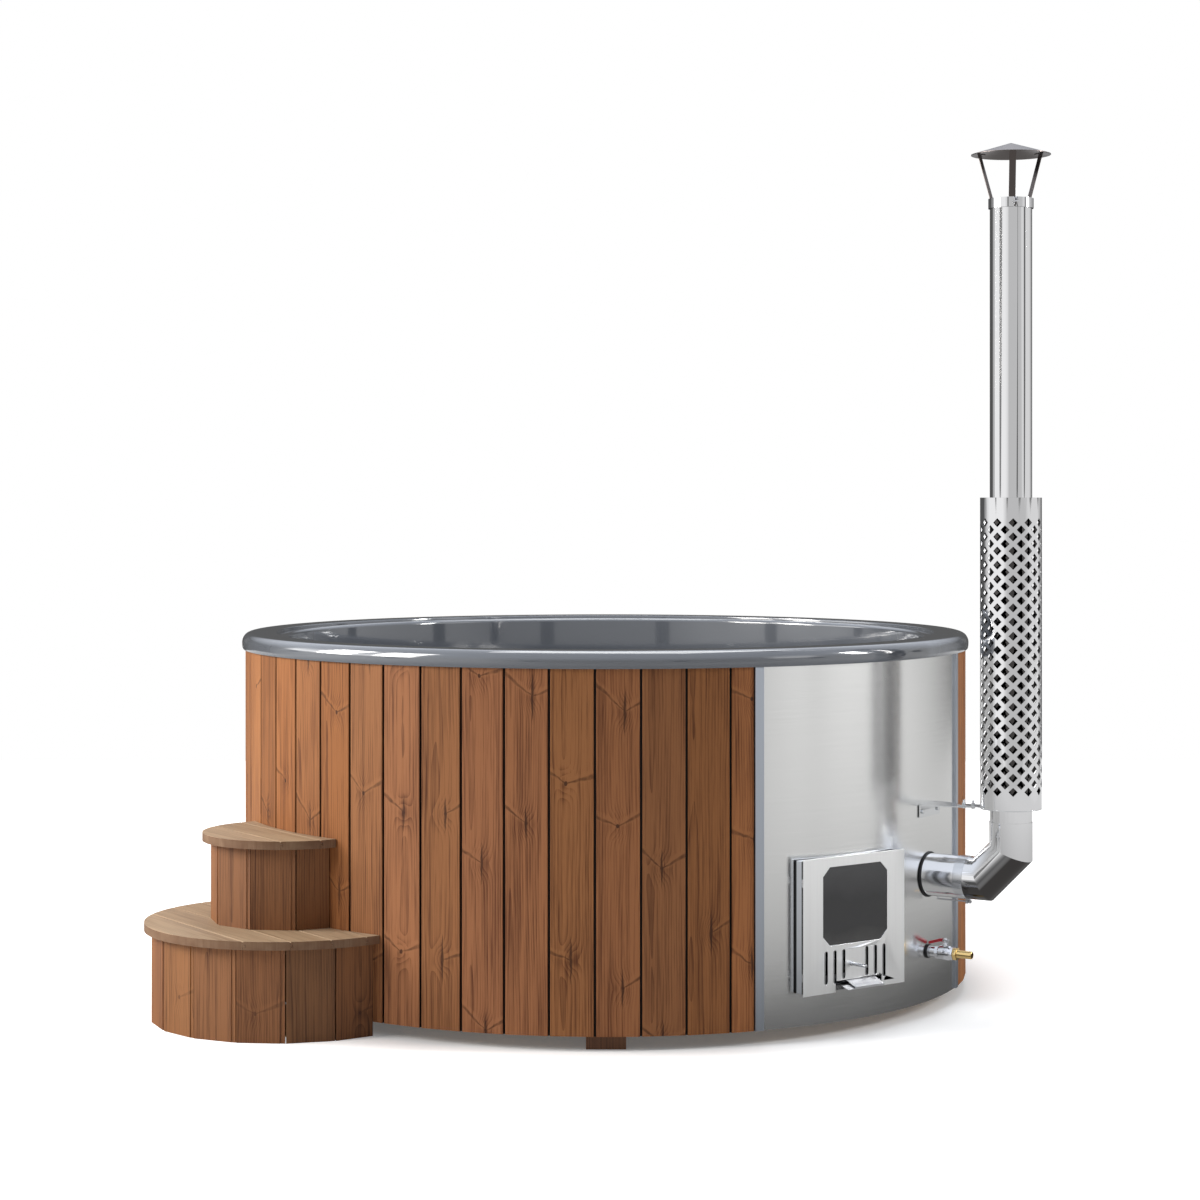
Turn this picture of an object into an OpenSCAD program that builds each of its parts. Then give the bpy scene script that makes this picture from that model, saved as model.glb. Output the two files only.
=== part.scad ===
// Round garden hot tub with a wooden jacket, a built-in wood stove, its flue and two steps.
// Millimetres, +Z up. The origin is on the tub's axis at ground level, under the middle runner.
// The front is towards -Y. Bearings are in degrees round the axis, from the front towards +X.

/* [Wooden jacket] */
// Radius of the jacket over the corners of its boards
tub_r = 1000; // [900:10:1200]
// Height of the jacket's lower edge above the ground
jacket_z = 35; // [20:1:44]
// Length of the jacket boards
jacket_h = 915; // [880:1:960]
// Number of board places round the tub
board_n = 56; // [50:1:62]
// Thickness of a jacket board
board_t = 20; // [18:1:26]
// Open joint between two boards at the face
board_gap = 6; // [4:0.5:8]
// Bearing of one of the board joints
first_joint = -7.97; // [-9:0.01:-7]
// Thickness of a board's tongue
tongue_t = 6; // [4:0.5:8]
// How far a tongue enters the next board's groove
tongue_bite = 4; // [3:0.5:6]
// Chamfer on the edges of a board's face
board_edge = 1.5; // [0.5:0.5:3]
// Height of a plywood hoop behind the boards
hoop_h = 28; // [18:1:36]
// Radial width of a plywood hoop
hoop_w = 40; // [30:1:50]
// Height of the middle hoop above the ground
hoop_mid_z = 606; // [580:1:700]

/* [Base] */
// Width of a ground runner
runner_w = 98; // [70:1:140]
// Height of a ground runner
runner_h = 48; // [45:1:70]
// Distance between the middles of two runners
runner_step = 450; // [350:10:500]
// Distance of the middle runner's ends behind the jacket's corners
runner_back = 25; // [24:1:60]
// Length of a side runner
side_runner_l = 1200; // [1000:10:1400]
// Thickness of the base deck
deck_t = 21; // [18:1:27]

/* [Liner] */
// Thickness of the moulded liner
liner_t = 6; // [4:0.5:6]
// Height of the rim over the boards
rim_h = 20; // [18:1:30]
// Height of the rim's outer side
lip_h = 43; // [40:1:60]
// How far the rim stands out past the boards
rim_out = 8; // [8:0.5:16]
// Width of the rim's rounded outer edge
crown_w = 22; // [18:1:30]
// Height of the rim's rounded outer edge
crown_h = 26; // [24:1:32]
// Width of the rim from its outer edge to its step
rim_w = 93; // [80:1:110]
// Height of the step down to the inner ledge
rim_step = 7; // [4:1:12]
// Distance of the inner wall, under its ledge, behind the jacket's corners
wall_in = 122; // [110:1:140]
// Draught of the inner wall between ledge and bench
wall_draught = 16; // [4:1:30]
// Height of the bench above the ground
bench_z = 500; // [480:1:560]
// Width of the bench
bench_w = 362; // [340:1:380]
// Height of the footwell floor above the ground
floor_z = 205; // [195:1:240]
// Rounding of the liner's inner corners
liner_round = 25; // [15:1:30]

/* [Stove section] */
// Bearing where the boards stop at the stove section
steel_from = 21.4; // [20:0.1:23]
// Bearing where the boards start again
steel_to = 69.9; // [69.5:0.1:74]
// Width of the trim channel at each side of the section
trim_w = 24; // [16:1:34]
// How far a trim channel stands out past the boards
trim_out = 3; // [0:0.5:4]
// Sheet thickness of a trim channel
trim_t = 2; // [1:0.5:3]
// Thickness of the steel panel
panel_t = 1.5; // [1:0.1:2.5]
// How far the panel's face lies behind the boards' corners
panel_in = 3; // [2:0.5:8]

/* [Stove door] */
// Bearing that the stove door faces
door_at = 37.4; // [36:0.1:39]
// How far the door's face stands out past the boards
door_out = 22; // [18:1:34]
// Width of the door plate
door_w = 342; // [330:1:360]
// Height of the door plate
door_h = 337; // [334:1:350]
// Height of the door's lower edge above the ground
door_z = 115; // [105:1:125]
// Thickness of the door plate
door_t = 2.5; // [1.5:0.5:4]
// Gap between the door plate and its frame
door_gap = 7; // [7:0.5:10]
// Width of the window
window_w = 217; // [190:1:220]
// Height of the window
window_h = 194.5; // [180:0.5:195]
// Sideways place of the window's middle
window_x = 2.5; // [-4:0.5:6]
// Distance of the window below the door's upper edge
window_down = 25; // [25:0.5:28]
// Corner cut of the window
window_cut = 23; // [12:1:35]
// Thickness of the window glass
glass_t = 4; // [3:0.5:4]
// Width of an air slot
slot_w = 11.5; // [8:0.5:13]
// Height of an outer air slot
slot_h = 82.5; // [60:0.5:83]
// Height of the outer air slots above the door's lower edge
slot_up = 22; // [22:0.5:26]
// Distance between two air slots of a group
slot_step = 29.5; // [28:0.5:31]
// Distance from the middle of the slots to the first slot of each group
slot_in = 39; // [36:0.5:42]
// How far the air slider moves each way
slider_move = 6; // [4:0.5:6]
// Width of the sheet grip on the air slider
grip_w = 97; // [80:1:100]
// How far the grip reaches out past the door's face
grip_out = 32; // [24:1:45]
// How far the grip dips towards its edge
grip_drop = 15; // [5:1:17]
// Height of the grip's folded front
fold_h = 5; // [4:0.5:6]
// How much wider the part is that is folded back under the grip
fold_wide = 25; // [0:1:28]
// Diameter of the pin handle
pin_d = 9; // [7:0.5:14]
// Length of the pin handle
pin_l = 55; // [40:1:80]
// Height of the pin handle above the door's lower edge
pin_up = 67; // [50:1:80]
// Sideways place of the pin handle
pin_x = -13; // [-16:1:16]
// Diameter of a hinge pin
hinge_pin_d = 3; // [2:0.1:4]
// Height of a hinge
hinge_h = 20; // [14:1:30]

/* [Stove body] */
// Depth of the water jacket behind the door frame
boiler_l = 405; // [300:5:420]
// Width of the water space round the firebox
water_gap = 36; // [24:1:40]
// Sheet thickness of the stove body
boiler_t = 3; // [2:0.5:5]
// Height of the grate above the ground
grate_z = 226; // [200:1:232]
// Outer diameter of the water pipes to the tub
water_d = 48; // [38:1:52]
// Height of the lower water pipe's cover above the footwell's floor
water_up = 24; // [15:1:30]
// Distance of the upper water pipe's middle below the bench
water_down = 92; // [85:1:110]
// Distance of the smoke duct behind the jacket's corners
duct_in = 160; // [155:1:170]
// Depth of the smoke duct
duct_l = 180; // [150:1:185]
// Width of the smoke duct
duct_w = 220; // [200:1:225]

/* [Flue] */
// Bearing of the flue
flue_at = 57.4; // [56.5:0.1:58.5]
// Height of the flue outlet above the ground
flue_z = 364; // [350:1:366]
// Outer diameter of the flue outlet
flue_d = 110; // [100:1:120]
// Wall of the flue pipes
flue_t = 1.2; // [0.8:0.1:2]
// Distance of the elbow's first mitre past the boards
elbow_out = 152; // [150:1:180]
// Run of the elbow's slanting piece
elbow_run = 75; // [66:1:90]
// Height of the elbow's upper end above its second mitre
elbow_up = 77; // [60:1:90]
// Distance of the elbow's joint with the outlet past the boards
joint_out = 94; // [80:1:98]
// Height of the chimney's top above the ground
chimney_top = 2104; // [1800:1:2400]
// Diameter of the heat guard
guard_d = 156; // [150:1:180]
// Height of the heat guard's lower edge above the ground
guard_z = 551; // [545:0.5:600]
// Length of the heat guard
guard_h = 791; // [770:1:900]
// Wall of the heat guard
guard_t = 1.2; // [0.8:0.1:2]
// Number of hole columns of each kind round the guard
guard_n = 12; // [10:2:12]
// Number of holes in a long column
guard_rows = 20; // [16:1:20]
// Distance between two holes of a column
guard_step = 35.8; // [34:0.1:38]
// Width across the corners of a diamond hole
diamond = 23; // [12:0.5:24]
// Height of the lowest hole's middle above the guard's lower edge
diamond_up = 47.5; // [40:0.1:60]
// Thickness of the bracket plates
plate_t = 2.5; // [2:0.5:4]

/* [Rain cap] */
// Radius of the rain cap
cap_r = 101; // [85:1:130]
// Height of the cap's edge above the chimney's top
cap_up = 113; // [80:1:140]
// Height of the cap's cone
cap_h = 30; // [20:1:50]
// Width of a cap leg
leg_w = 17; // [12:1:24]
// Height of the clamp collar
collar_h = 25; // [18:1:35]

/* [Drain] */
// Bearing of the drain valve
drain_at = 57; // [56:0.1:58]
// Height of the drain valve above the ground
drain_z = 165; // [158:1:168]
// Outer diameter of the drain pipe
drain_d = 32; // [30:1:34]
// Diameter of the valve's barrel
valve_d = 37; // [36:1:42]
// Diameter of the hose tail
tail_d = 20; // [17:1:24]
// Length of the hose tail
tail_l = 41; // [30:1:60]
// Length of the valve lever from the stem
lever_l = 46; // [38:1:46]

/* [Steps] */
// Bearing of the steps
step_at = -55.8; // [-60:0.1:-52]
// How far the middle of the steps lies inside the jacket
step_in = 10; // [0:1:20]
// Gap between the steps and the tub
step_gap = 0.8; // [0.5:0.1:6]
// Height of the lower tread
tread_z1 = 253; // [220:1:280]
// Height of the upper tread
tread_z2 = 480; // [450:1:520]
// Radius of the lower tread
tread_r1 = 372; // [360:1:400]
// Radius of the upper tread
tread_r2 = 224; // [215:1:250]
// Thickness of a tread board
tread_t = 21; // [18:1:28]
// Width of a tread board
tread_w = 95; // [80:1:120]
// Radius over the corners of the lower front boards
riser_r1 = 354; // [335:1:358]
// Radius over the corners of the upper front boards
riser_r2 = 204; // [190:1:212]
// Thickness of a front board
riser_t = 19; // [15:1:24]
// Open joint between two front boards
riser_gap = 3; // [2:0.5:5]

/* [Hidden] */
$fn = 96;
smooth = 180;              // facets of the largest round shapes

fit = 0.2;                 // slack between pieces that are fixed to each other
run_fit = 0.05;            // radial slack of a pin that turns
slide_fit = 0.3;           // slack round a piece that slides
over = 1;                  // how far a cutting shape reaches past the face it cuts

wood = "peru";
pale_wood = "burlywood";
dark_wood = "saddlebrown";
plywood = "tan";
steel = "lightgrey";
bright = "silver";
black = "dimgrey";

// ---- helpers ----

// Turns a piece that is drawn at the front (-Y) to a bearing.
module at(bearing) rotate([0, 0, bearing]) children();

// A level rod or hole along Y, from y0 outwards to y1.
module rod(r, y0, y1, x = 0, z = 0)
    translate([x, y0, z]) rotate([90, 0, 0]) cylinder(r = r, h = y0 - y1);

module tube(r, wall, z, h)
    translate([0, 0, z]) difference() {
        cylinder(r = r, h = h);
        translate([0, 0, -over]) cylinder(r = r - wall, h = h + 2 * over);
    }

// A box given by its middle in x, its range in y and its foot in z.
module block(x, w, y0, y1, z, h)
    translate([x - w / 2, min(y0, y1), z]) cube([w, abs(y1 - y0), h]);

// Curved sheet between two bearings.
module arc_sheet(r, wall, from, to, z, h)
    rotate([0, 0, from - 90]) rotate_extrude(angle = to - from, $fn = smooth)
        translate([r - wall, z]) square([wall, h]);

function arc(cx, cy, rx, ry, a0, a1, n = 8) =
    [for (i = [0:n]) let (a = a0 + (a1 - a0) * i / n) [cx + rx * cos(a), cy + ry * sin(a)]];
function reversed(v) = [for (i = [len(v) - 1:-1:0]) v[i]];

// ---- wooden jacket ----

board_ang = 360 / board_n;
face_r = tub_r * cos(board_ang / 2);       // distance of a board's flat face from the axis
back_r = face_r - board_t;                 // and of its back
board_half = tub_r * sin(board_ang / 2) - board_gap / 2;
tongue_slack = 1.3;                        // room for a tongue that comes in at an angle
jacket_top = jacket_z + jacket_h;
saw_gap = 1.4;                             // room for a trim beside a sawn board
hoop_r = back_r - fit;
deck_z = runner_h;
deck_top = deck_z + deck_t;
rim_top = jacket_top + rim_h;
wall_r = tub_r - wall_in;                  // inner wall under the ledge
wall_foot_r = wall_r - wall_draught;       // and at the bench
well_r = wall_foot_r - bench_w;            // footwell at the bench
hoop_top_z = rim_top - liner_t - fit - hoop_h;

// Section of a board: x runs along the face, y is minus the distance from the axis.
function board_points(x0, x1, groove, tongue) = let (
        face = -face_r, back = -back_r, e = board_edge,
        t0 = face + (board_t - tongue_t) / 2, t1 = t0 + tongue_t,
        tip = x1 + board_gap + tongue_bite - 1,
        root = x0 + tongue_bite + 1.8)
    concat(
        [[x0, back]],
        groove ? [[x0, t1 + tongue_slack], [root, t1 + tongue_slack],
                  [root, t0 - tongue_slack], [x0, t0 - tongue_slack]] : [],
        [[x0, face + e], [x0 + e, face], [x1 - e, face], [x1, face + e]],
        tongue ? [[x1, t0], [tip, t0], [tip, t1], [x1, t1]] : [],
        [[x1, back]]);

module board(place, x0 = -board_half, x1 = board_half, groove = true, tongue = true)
    at(first_joint + (place + 0.5) * board_ang) translate([0, 0, jacket_z])
        linear_extrude(jacket_h) polygon(board_points(x0, x1, groove, tongue));

first_full = ceil((steel_to - first_joint) / board_ang);
last_full = board_n + floor((steel_from - first_joint) / board_ang) - 1;
group_n = ceil((last_full - first_full + 1) / 4);

// The boards of one quarter of the jacket.
module boards(quarter) color(wood)
    for (i = [0:group_n - 1]) {
        place = first_full + quarter * group_n + i;
        if (place <= last_full) board(place);
    }

// Where a board that is ripped beside the stove section has its sawn edge.
function sawn_x(bearing, place) = tub_r * sin(bearing - first_joint - (place + 0.5) * board_ang);

module jacket_right() {
    boards(0);
    color(wood) board(first_full - 1, x0 = sawn_x(steel_to, first_full - 1) + saw_gap, groove = false);
}
module jacket_back() boards(1);
module jacket_left() boards(2);
module jacket_front() {
    boards(3);
    color(wood)
        board(last_full + 1, x1 = sawn_x(steel_from, last_full + 1 - board_n) - saw_gap, tongue = false);
}

module hoop(z) color(plywood) tube(hoop_r, hoop_w, z, hoop_h);
module hoop_lower() hoop(deck_top);
module hoop_middle() hoop(hoop_mid_z);
module hoop_upper() hoop(hoop_top_z);

// ---- base ----

module runner(x, half) color(dark_wood) block(x, runner_w, -half, half, 0, runner_h);
module runner_middle() runner(0, tub_r - runner_back);
module runners_side() for (side = [-1, 1]) runner(side * runner_step, side_runner_l / 2);

module base_deck() color(plywood) translate([0, 0, deck_z]) cylinder(r = hoop_r, h = deck_t);

bearer_w = 45;
bearer_x = 200;
post_w = 60;
// Two bearers under the footwell, and posts under the bench clear of the stove.
module liner_supports() color(plywood) {
    at(drain_at) for (side = [-1, 1])
        block(side * bearer_x, bearer_w, -well_r * 0.7, well_r * 0.7, deck_top, floor_z - liner_t - deck_top);
    for (bearing = [100:40:340]) at(bearing) {
        mid = -(well_r + wall_r) / 2;
        block(0, post_w, mid - post_w / 2, mid + post_w / 2, deck_top, bench_z - liner_t - deck_top);
    }
}

// ---- liner ----

rim_r = tub_r + rim_out;
lip_z = rim_top - lip_h;
lip_tuck = 3;                              // how far the lip turns in below the crown
edge_round = 10;                           // rounding of the ledge's inner edge
bench_round = 20;                          // rounding of the bench's edge at the footwell
well_foot_r = well_r - 10;

// One side of the liner's section, from the rim's lip to the middle of the floor.
// o is how far it lies under the wet face.
function liner_side(o) = let (
        crown_z = rim_top - crown_h, step_r = rim_r - rim_w + o, c = liner_round)
    concat(
        [[rim_r - lip_tuck - o * 0.6, lip_z]],
        arc(rim_r - lip_tuck - o, crown_z, lip_tuck, crown_z - lip_z, -60, 0, 3),
        arc(rim_r - crown_w, crown_z, crown_w - o, crown_h - o, 9, 90, 9),
        [[step_r + 1, rim_top - o], [step_r, rim_top - o - 1], [step_r, rim_top - o - rim_step]],
        arc(wall_r + edge_round, rim_top - rim_step - edge_round, edge_round - o, edge_round - o, 90, 180, 6),
        arc(wall_foot_r - c, bench_z + c, c + o, c + o, 0, -90, 8),
        arc(well_r + bench_round, bench_z - bench_round, bench_round - o, bench_round - o, 90, 180, 8),
        arc(well_foot_r - c, floor_z + c, c + o, c + o, 0, -90, 8),
        [[0, floor_z - o]]);

module liner() color("slategrey") difference() {
    rotate_extrude($fn = smooth) polygon(concat(liner_side(0), reversed(liner_side(liner_t))));
    translate([0, 0, floor_z - liner_t - over]) cylinder(r = waste_r + fit, h = liner_t + 2 * over);
    at(door_at) for (z = water_zs) rod(water_d / 2 + fit, water_in + 60, water_in - 60, z = z);
}

// ---- drain ----

waste_r = 24;
pipe_wall = 2.5;
valve_out = 47;                            // distance of the valve's middle past the boards
valve_y = -(tub_r + valve_out);
pipe_end = -(tub_r + 3);                   // where the drain pipe ends, outside the panel
socket_l = 60;

// Slotted strainer on the floor.
module drain_strainer() color(steel) difference() {
    translate([0, 0, floor_z + fit]) cylinder(r = waste_r + 18, h = 5);
    for (a = [0:45:315]) rotate([0, 0, a]) translate([9, -2, floor_z - over]) cube([12, 4, 8]);
}
// Waste body through the floor, closed below, with a side socket for the drain pipe.
module drain_waste() color("darkgrey") difference() {
    union() {
        translate([0, 0, drain_z - 22]) cylinder(r = waste_r, h = floor_z - drain_z + 22);
        translate([0, 0, floor_z - liner_t - 8 - fit]) cylinder(r = waste_r + 14, h = 8);
        at(drain_at) rod(drain_d / 2 + 4, 0, -socket_l, z = drain_z);
    }
    translate([0, 0, drain_z - 18]) cylinder(r = waste_r - 4, h = floor_z - drain_z + 18 + over);
    at(drain_at) rod(drain_d / 2 + fit, 0, -socket_l - over, z = drain_z);
}
module drain_pipe() color(steel) at(drain_at) difference() {
    rod(drain_d / 2, -waste_r - 4, pipe_end, z = drain_z);
    rod(drain_d / 2 - pipe_wall, -waste_r - 4 + over, pipe_end - over, z = drain_z);
}
module drain_gasket() color(black) at(drain_at) difference() {
    rod(drain_d / 2 + 2, -panel_r - 0.1, pipe_end + 1, z = drain_z);
    rod(drain_d / 2 + 0.1, -panel_r + over, pipe_end, z = drain_z);
}

bore_r = 10;
ball_r = valve_d / 2 - 4.5;
stem_r = 4;
pin_r = 3;                                 // the stem's end, which carries the lever
neck_h = 26;
arm_up = 34;                               // height of the lever over the valve's axis
arm_t = 2.5;
flats = valve_d - 6;                       // width across the valve's hexagons

// Puts what is drawn round the valve's middle in its place on the tub.
module at_valve() at(drain_at) translate([0, valve_y, drain_z]) children();

// A hexagon along the valve's axis between two distances outwards from its middle.
module hexagon(s0, s1, across)
    rotate([90, 0, 0]) translate([0, 0, s0]) cylinder(d = across / cos(30), h = s1 - s0, $fn = 6);

module valve_body() color(steel) at_valve() difference() {
    r = valve_d / 2;
    nipple = drain_d / 2 - pipe_wall - 0.1;
    union() {
        rotate([90, 0, 0]) rotate_extrude() polygon([
            [0, valve_y - pipe_end - 12], [nipple, valve_y - pipe_end - 12], [nipple, -18], [r - 2.5, -17],
            [r, -13], [r, 13], [r - 2.5, 17], [nipple, 18], [nipple, 25], [0, 25]]);
        hexagon(-25, -16, flats);
        hexagon(16, 24.5, flats);
        cylinder(r = 8, h = neck_h);
    }
    sphere(r = ball_r + slide_fit);
    rod(bore_r, -valve_y, -26);
    cylinder(r = stem_r + run_fit, h = neck_h + over);
}
module valve_ball() color(bright) at_valve() difference() {
    sphere(r = ball_r);
    rod(bore_r, 20, -20);
    translate([-20, -20, ball_r - 2]) cube([40, 40, 10]);
}
module valve_stem() color(bright) at_valve() {
    translate([0, 0, ball_r - 2]) cylinder(r = stem_r, h = arm_up - arm_t - ball_r + 2);
    translate([0, 0, ball_r]) cylinder(r = pin_r, h = arm_up + 4 - ball_r);
}

// Side view of the lever's arm between two distances from the stem. grow thickens it.
function arm_points(y0, y1, grow) = let (bend = 12, drop = 10, z = arm_up - arm_t) [
    [y0, z - grow], if (y0 < bend) [bend, z - grow],
    [y1, z - grow - drop * (y1 - bend) / (lever_l - bend)],
    [y1, z + arm_t + grow - drop * (y1 - bend) / (lever_l - bend)],
    if (y0 < bend) [bend, z + arm_t + grow], [y0, z + arm_t + grow]];
module arm(y0, y1, w, grow = 0)
    rotate([90, 0, 90]) translate([0, 0, -w / 2]) linear_extrude(w) polygon(arm_points(y0, y1, grow));

// Sheet lever on the stem, held by a nut, with a stop that is folded down outside the neck.
arm_w = 9;
hub = [-10, 6];                            // the lever's hub along the valve's axis
module valve_lever() color(bright) at_valve() difference() {
    union() {
        translate([-6, hub[0], arm_up - arm_t]) cube([12, hub[1] - hub[0], arm_t]);
        translate([-4, hub[0], arm_up - 14]) cube([8, 1.6, 14]);
        arm(hub[1] - 1, lever_l - 1, arm_w);
        translate([0, 0, arm_up - 0.5]) cylinder(d = 11, h = 4.5, $fn = 6);
    }
    translate([0, 0, arm_up - arm_t - over]) cylinder(r = pin_r + 0.02, h = 12);
}
// Red sleeve on the lever.
module lever_grip() color("firebrick") at_valve() difference() {
    intersection() {
        arm(0, lever_l, arm_w + 3, grow = 2.5);
        translate([-10, hub[1] + fit, 0]) cube([20, lever_l, 60]);
    }
    arm(0, lever_l - 1 + fit, arm_w + 2 * fit, grow = fit);
}
module hose_tail() color("goldenrod") at_valve() difference() {
    union() {
        hexagon(25 + fit, 35, flats - 1);
        rotate([90, 0, 0]) rotate_extrude() polygon([
            [0, 30], [tail_d / 2, 30], [tail_d / 2, 33 + tail_l],
            [tail_d / 2 - 2, 35 + tail_l], [0, 35 + tail_l]]);
    }
    rod(tail_d / 2 - 3, -24, -36 - tail_l);
}

// ---- steel section ----

trim_ang = 2 * asin(trim_w / 2 / tub_r);
panel_r = tub_r - panel_in;
panel_from = steel_from + trim_ang;
panel_to = steel_to - trim_ang;
edge_slack = 0.02;                         // degrees between the panel and its trims

module steel_panel() color(steel) difference() {
    arc_sheet(panel_r, panel_t, panel_from + edge_slack, panel_to - edge_slack, jacket_z, jacket_h - fit);
    at(door_at) block(0, frame_w + 3, -tub_r - 20, -tub_r + 80, frame_z - 1.5, frame_h + 3);
    at(flue_at) {
        rod(flue_r + 2, -tub_r + 80, -tub_r - 20, z = flue_z);
        for (x = [-bolt_x, bolt_x]) rod(bolt_r + fit, -tub_r + 80, -tub_r - 20, x = x, z = bolt_z);
    }
    at(drain_at) rod(drain_d / 2 + 0.5, -tub_r + 80, -tub_r - 20, z = drain_z);
}

// Two folded channels over the panel's edges.
module steel_trims() color("lightslategrey")
    for (bearing = [steel_from + trim_ang / 2, steel_to - trim_ang / 2])
        at(bearing) translate([0, 0, jacket_z]) linear_extrude(lip_z - fit - jacket_z) difference() {
            outer = -(tub_r + trim_out);
            translate([-trim_w / 2, outer]) square([trim_w, -back_r - over - outer]);
            translate([-trim_w / 2 + trim_t, outer + trim_t]) square([trim_w - 2 * trim_t, board_t * 2]);
        }

// Curved packers that carry the panel on the three hoops.
module panel_ribs() color(plywood)
    for (z = [deck_top, hoop_mid_z, jacket_top - hoop_h])
        arc_sheet(panel_r - panel_t - fit, panel_r - panel_t - back_r - fit,
                  panel_from + 0.4, panel_to - 0.4, z, hoop_h - 2 * fit);

// ---- stove body, drawn as it faces the front ----

door_y = -(tub_r + door_out);              // the door plate's face
door_back = door_y + door_t;
frame_y = door_back + door_gap;            // the frame's face
frame_inset = 5;
frame_w = door_w - 2 * frame_inset;
frame_h = door_h - 2 * frame_inset;
frame_z = door_z + frame_inset;
frame_t = 2.5;
mouth_x = 20;                              // width of the frame's face beside its mouth
mouth_z = 14;                              // and over and under it
boiler_y = -(tub_r - 35);
boiler_back = boiler_y + boiler_l;
fire_w = frame_w - 2 * water_gap - 2 * boiler_t;
fire_z = frame_z + 30;
fire_h = frame_h - 60;
fire_back = boiler_back - water_gap;
// The plate feet start behind the lower hoop.
feet_y = -sqrt(pow(hoop_r - hoop_w, 2) - pow(frame_w / 2, 2)) + 4;
grate_t = 8;
flue_r = flue_d / 2;
duct_front = -(tub_r - duct_in);
duct_back = duct_front + duct_l;
duct_z = flue_z - flue_r - 9;
duct_h = 2 * flue_r + 18;
grille_r = water_d / 2 + 10;
water_in = -well_foot_r + 6;               // where the water pipes end, inside the footwell
water_zs = [floor_z + grille_r + water_up, bench_z - water_down];

module fire_space(grow = 0)
    block(0, fire_w + 2 * grow, boiler_y - 20, fire_back + grow, fire_z - grow, fire_h + 2 * grow);

// The passage from the firebox to the side duct.
module throat(grow = 0)
    translate([0, duct_front + 10 - grow, duct_z + 8 - grow])
        cube([frame_w / 2 + 8, duct_back - duct_front - 20 + 2 * grow, duct_h - 34 + 2 * grow]);

// Inner box of the stove, open to the door, with ledges for the grate.
module firebox() color(black) at(door_at) {
    difference() {
        intersection() {
            union() {
                fire_space(boiler_t);
                throat(boiler_t);
            }
            block(0, frame_w - fit, boiler_y, 0, 0, tub_r);
        }
        fire_space();
        throat();
    }
    for (side = [-1, 1])
        block(side * (fire_w / 2 - 4), 10, boiler_y + 12, fire_back - 4, grate_z - grate_t - 10, 10 - fit);
}

// Outer box that holds the water round the firebox, on two plate feet.
module water_jacket() color(steel) at(door_at) difference() {
    union() {
        block(0, frame_w, boiler_y, boiler_back, frame_z, frame_h);
        for (side = [-1, 1])
            block(side * (frame_w / 2 - 3), 6, feet_y, boiler_back - 20,
                  deck_top, frame_z - deck_top + over);
    }
    block(0, frame_w - 2 * boiler_t, boiler_y + boiler_t, boiler_back - boiler_t,
          frame_z + boiler_t, frame_h - 2 * boiler_t);
    fire_space(boiler_t + fit);
    throat(boiler_t + fit);
    for (z = water_zs) rod(water_d / 2 + fit, boiler_back + over, boiler_back - 20, z = z);
}

// Box that leads the smoke from the throat to the flue.
module smoke_duct() color(black) at(door_at) difference() {
    translate([frame_w / 2 + fit, duct_front, duct_z]) cube([duct_w, duct_back - duct_front, duct_h]);
    translate([frame_w / 2 + fit + boiler_t, duct_front + boiler_t, duct_z + boiler_t])
        cube([duct_w - 2 * boiler_t, duct_back - duct_front - 2 * boiler_t, duct_h - 2 * boiler_t]);
    throat();
    at(flue_at - door_at) rod(flue_r + fit, -tub_r + 200, -tub_r, z = flue_z);
}

module fire_grate() color(black) at(door_at) difference() {
    block(0, fire_w - 2, boiler_y + 12, fire_back - 4, grate_z - grate_t, grate_t);
    for (i = [-4:4])
        block(i * 23, 11, boiler_y + 40, fire_back - 30, grate_z - grate_t - over, grate_t + 2 * over);
}

module water_pipes() color(steel) at(door_at) for (z = water_zs) difference() {
    rod(water_d / 2, water_in, boiler_back - boiler_t, z = z);
    rod(water_d / 2 - 2, water_in + over, boiler_back - boiler_t - over, z = z);
}
// Barred covers over the two water pipes in the footwell.
module water_grilles() color(steel) at(door_at) for (z = water_zs) difference() {
    rod(grille_r, water_in + 5 + fit, water_in + fit, z = z);
    for (i = [-1:1]) block(i * 12, 6, water_in - over, water_in + 7, z - water_d / 2 + 5, water_d - 10);
}

// Sheet collar that stands out of the panel round the fire's mouth.
module door_frame() color(steel) at(door_at) difference() {
    block(0, frame_w, frame_y, boiler_y - fit, frame_z, frame_h);
    block(0, frame_w - 2 * frame_t, frame_y + frame_t, boiler_y + over,
          frame_z + frame_t, frame_h - 2 * frame_t);
    block(0, frame_w - 2 * mouth_x, frame_y - over, boiler_y, frame_z + mouth_z, frame_h - 2 * mouth_z);
}

// ---- stove door, drawn as it faces the front ----

window_z = door_z + door_h - window_down - window_h;
slot_z = door_z + slot_up;
slot_top = slot_z + slot_h;
slot_mid = 2;
slot_xs = [for (side = [-1, 1]) for (i = [0:2]) slot_mid + side * (slot_in + i * slot_step)];
notch_x0 = -64;                            // notch in the door's lower edge for the grip
notch_x1 = 92;
notch_top = slot_z + 6;
// Slots over the notch start above it.
function slot_foot(x) = x > notch_x0 && x < notch_x1 ? notch_top + 3 : slot_z;

slider_t = 1.5;
slider_y = door_back + slide_fit;          // the slider's front face
slider_x0 = -112;
slider_x1 = 118;
slider_z = slot_z - 2.5;
slider_top = slot_top + 3.5;
grip_x = 21.5;
guide_t = 1.2;
seal_w = 11;
glass_edge = 6;                            // how far the glass reaches past the window
glass_y = door_back + 0.1;
hinge_x = -door_w / 2 + 3.5;
hinge_y = (door_back + frame_y) / 2;
hinge_r = door_gap / 2 - 0.2;
hinge_zs = [door_z + 46, door_z + door_h - 58];

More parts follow.
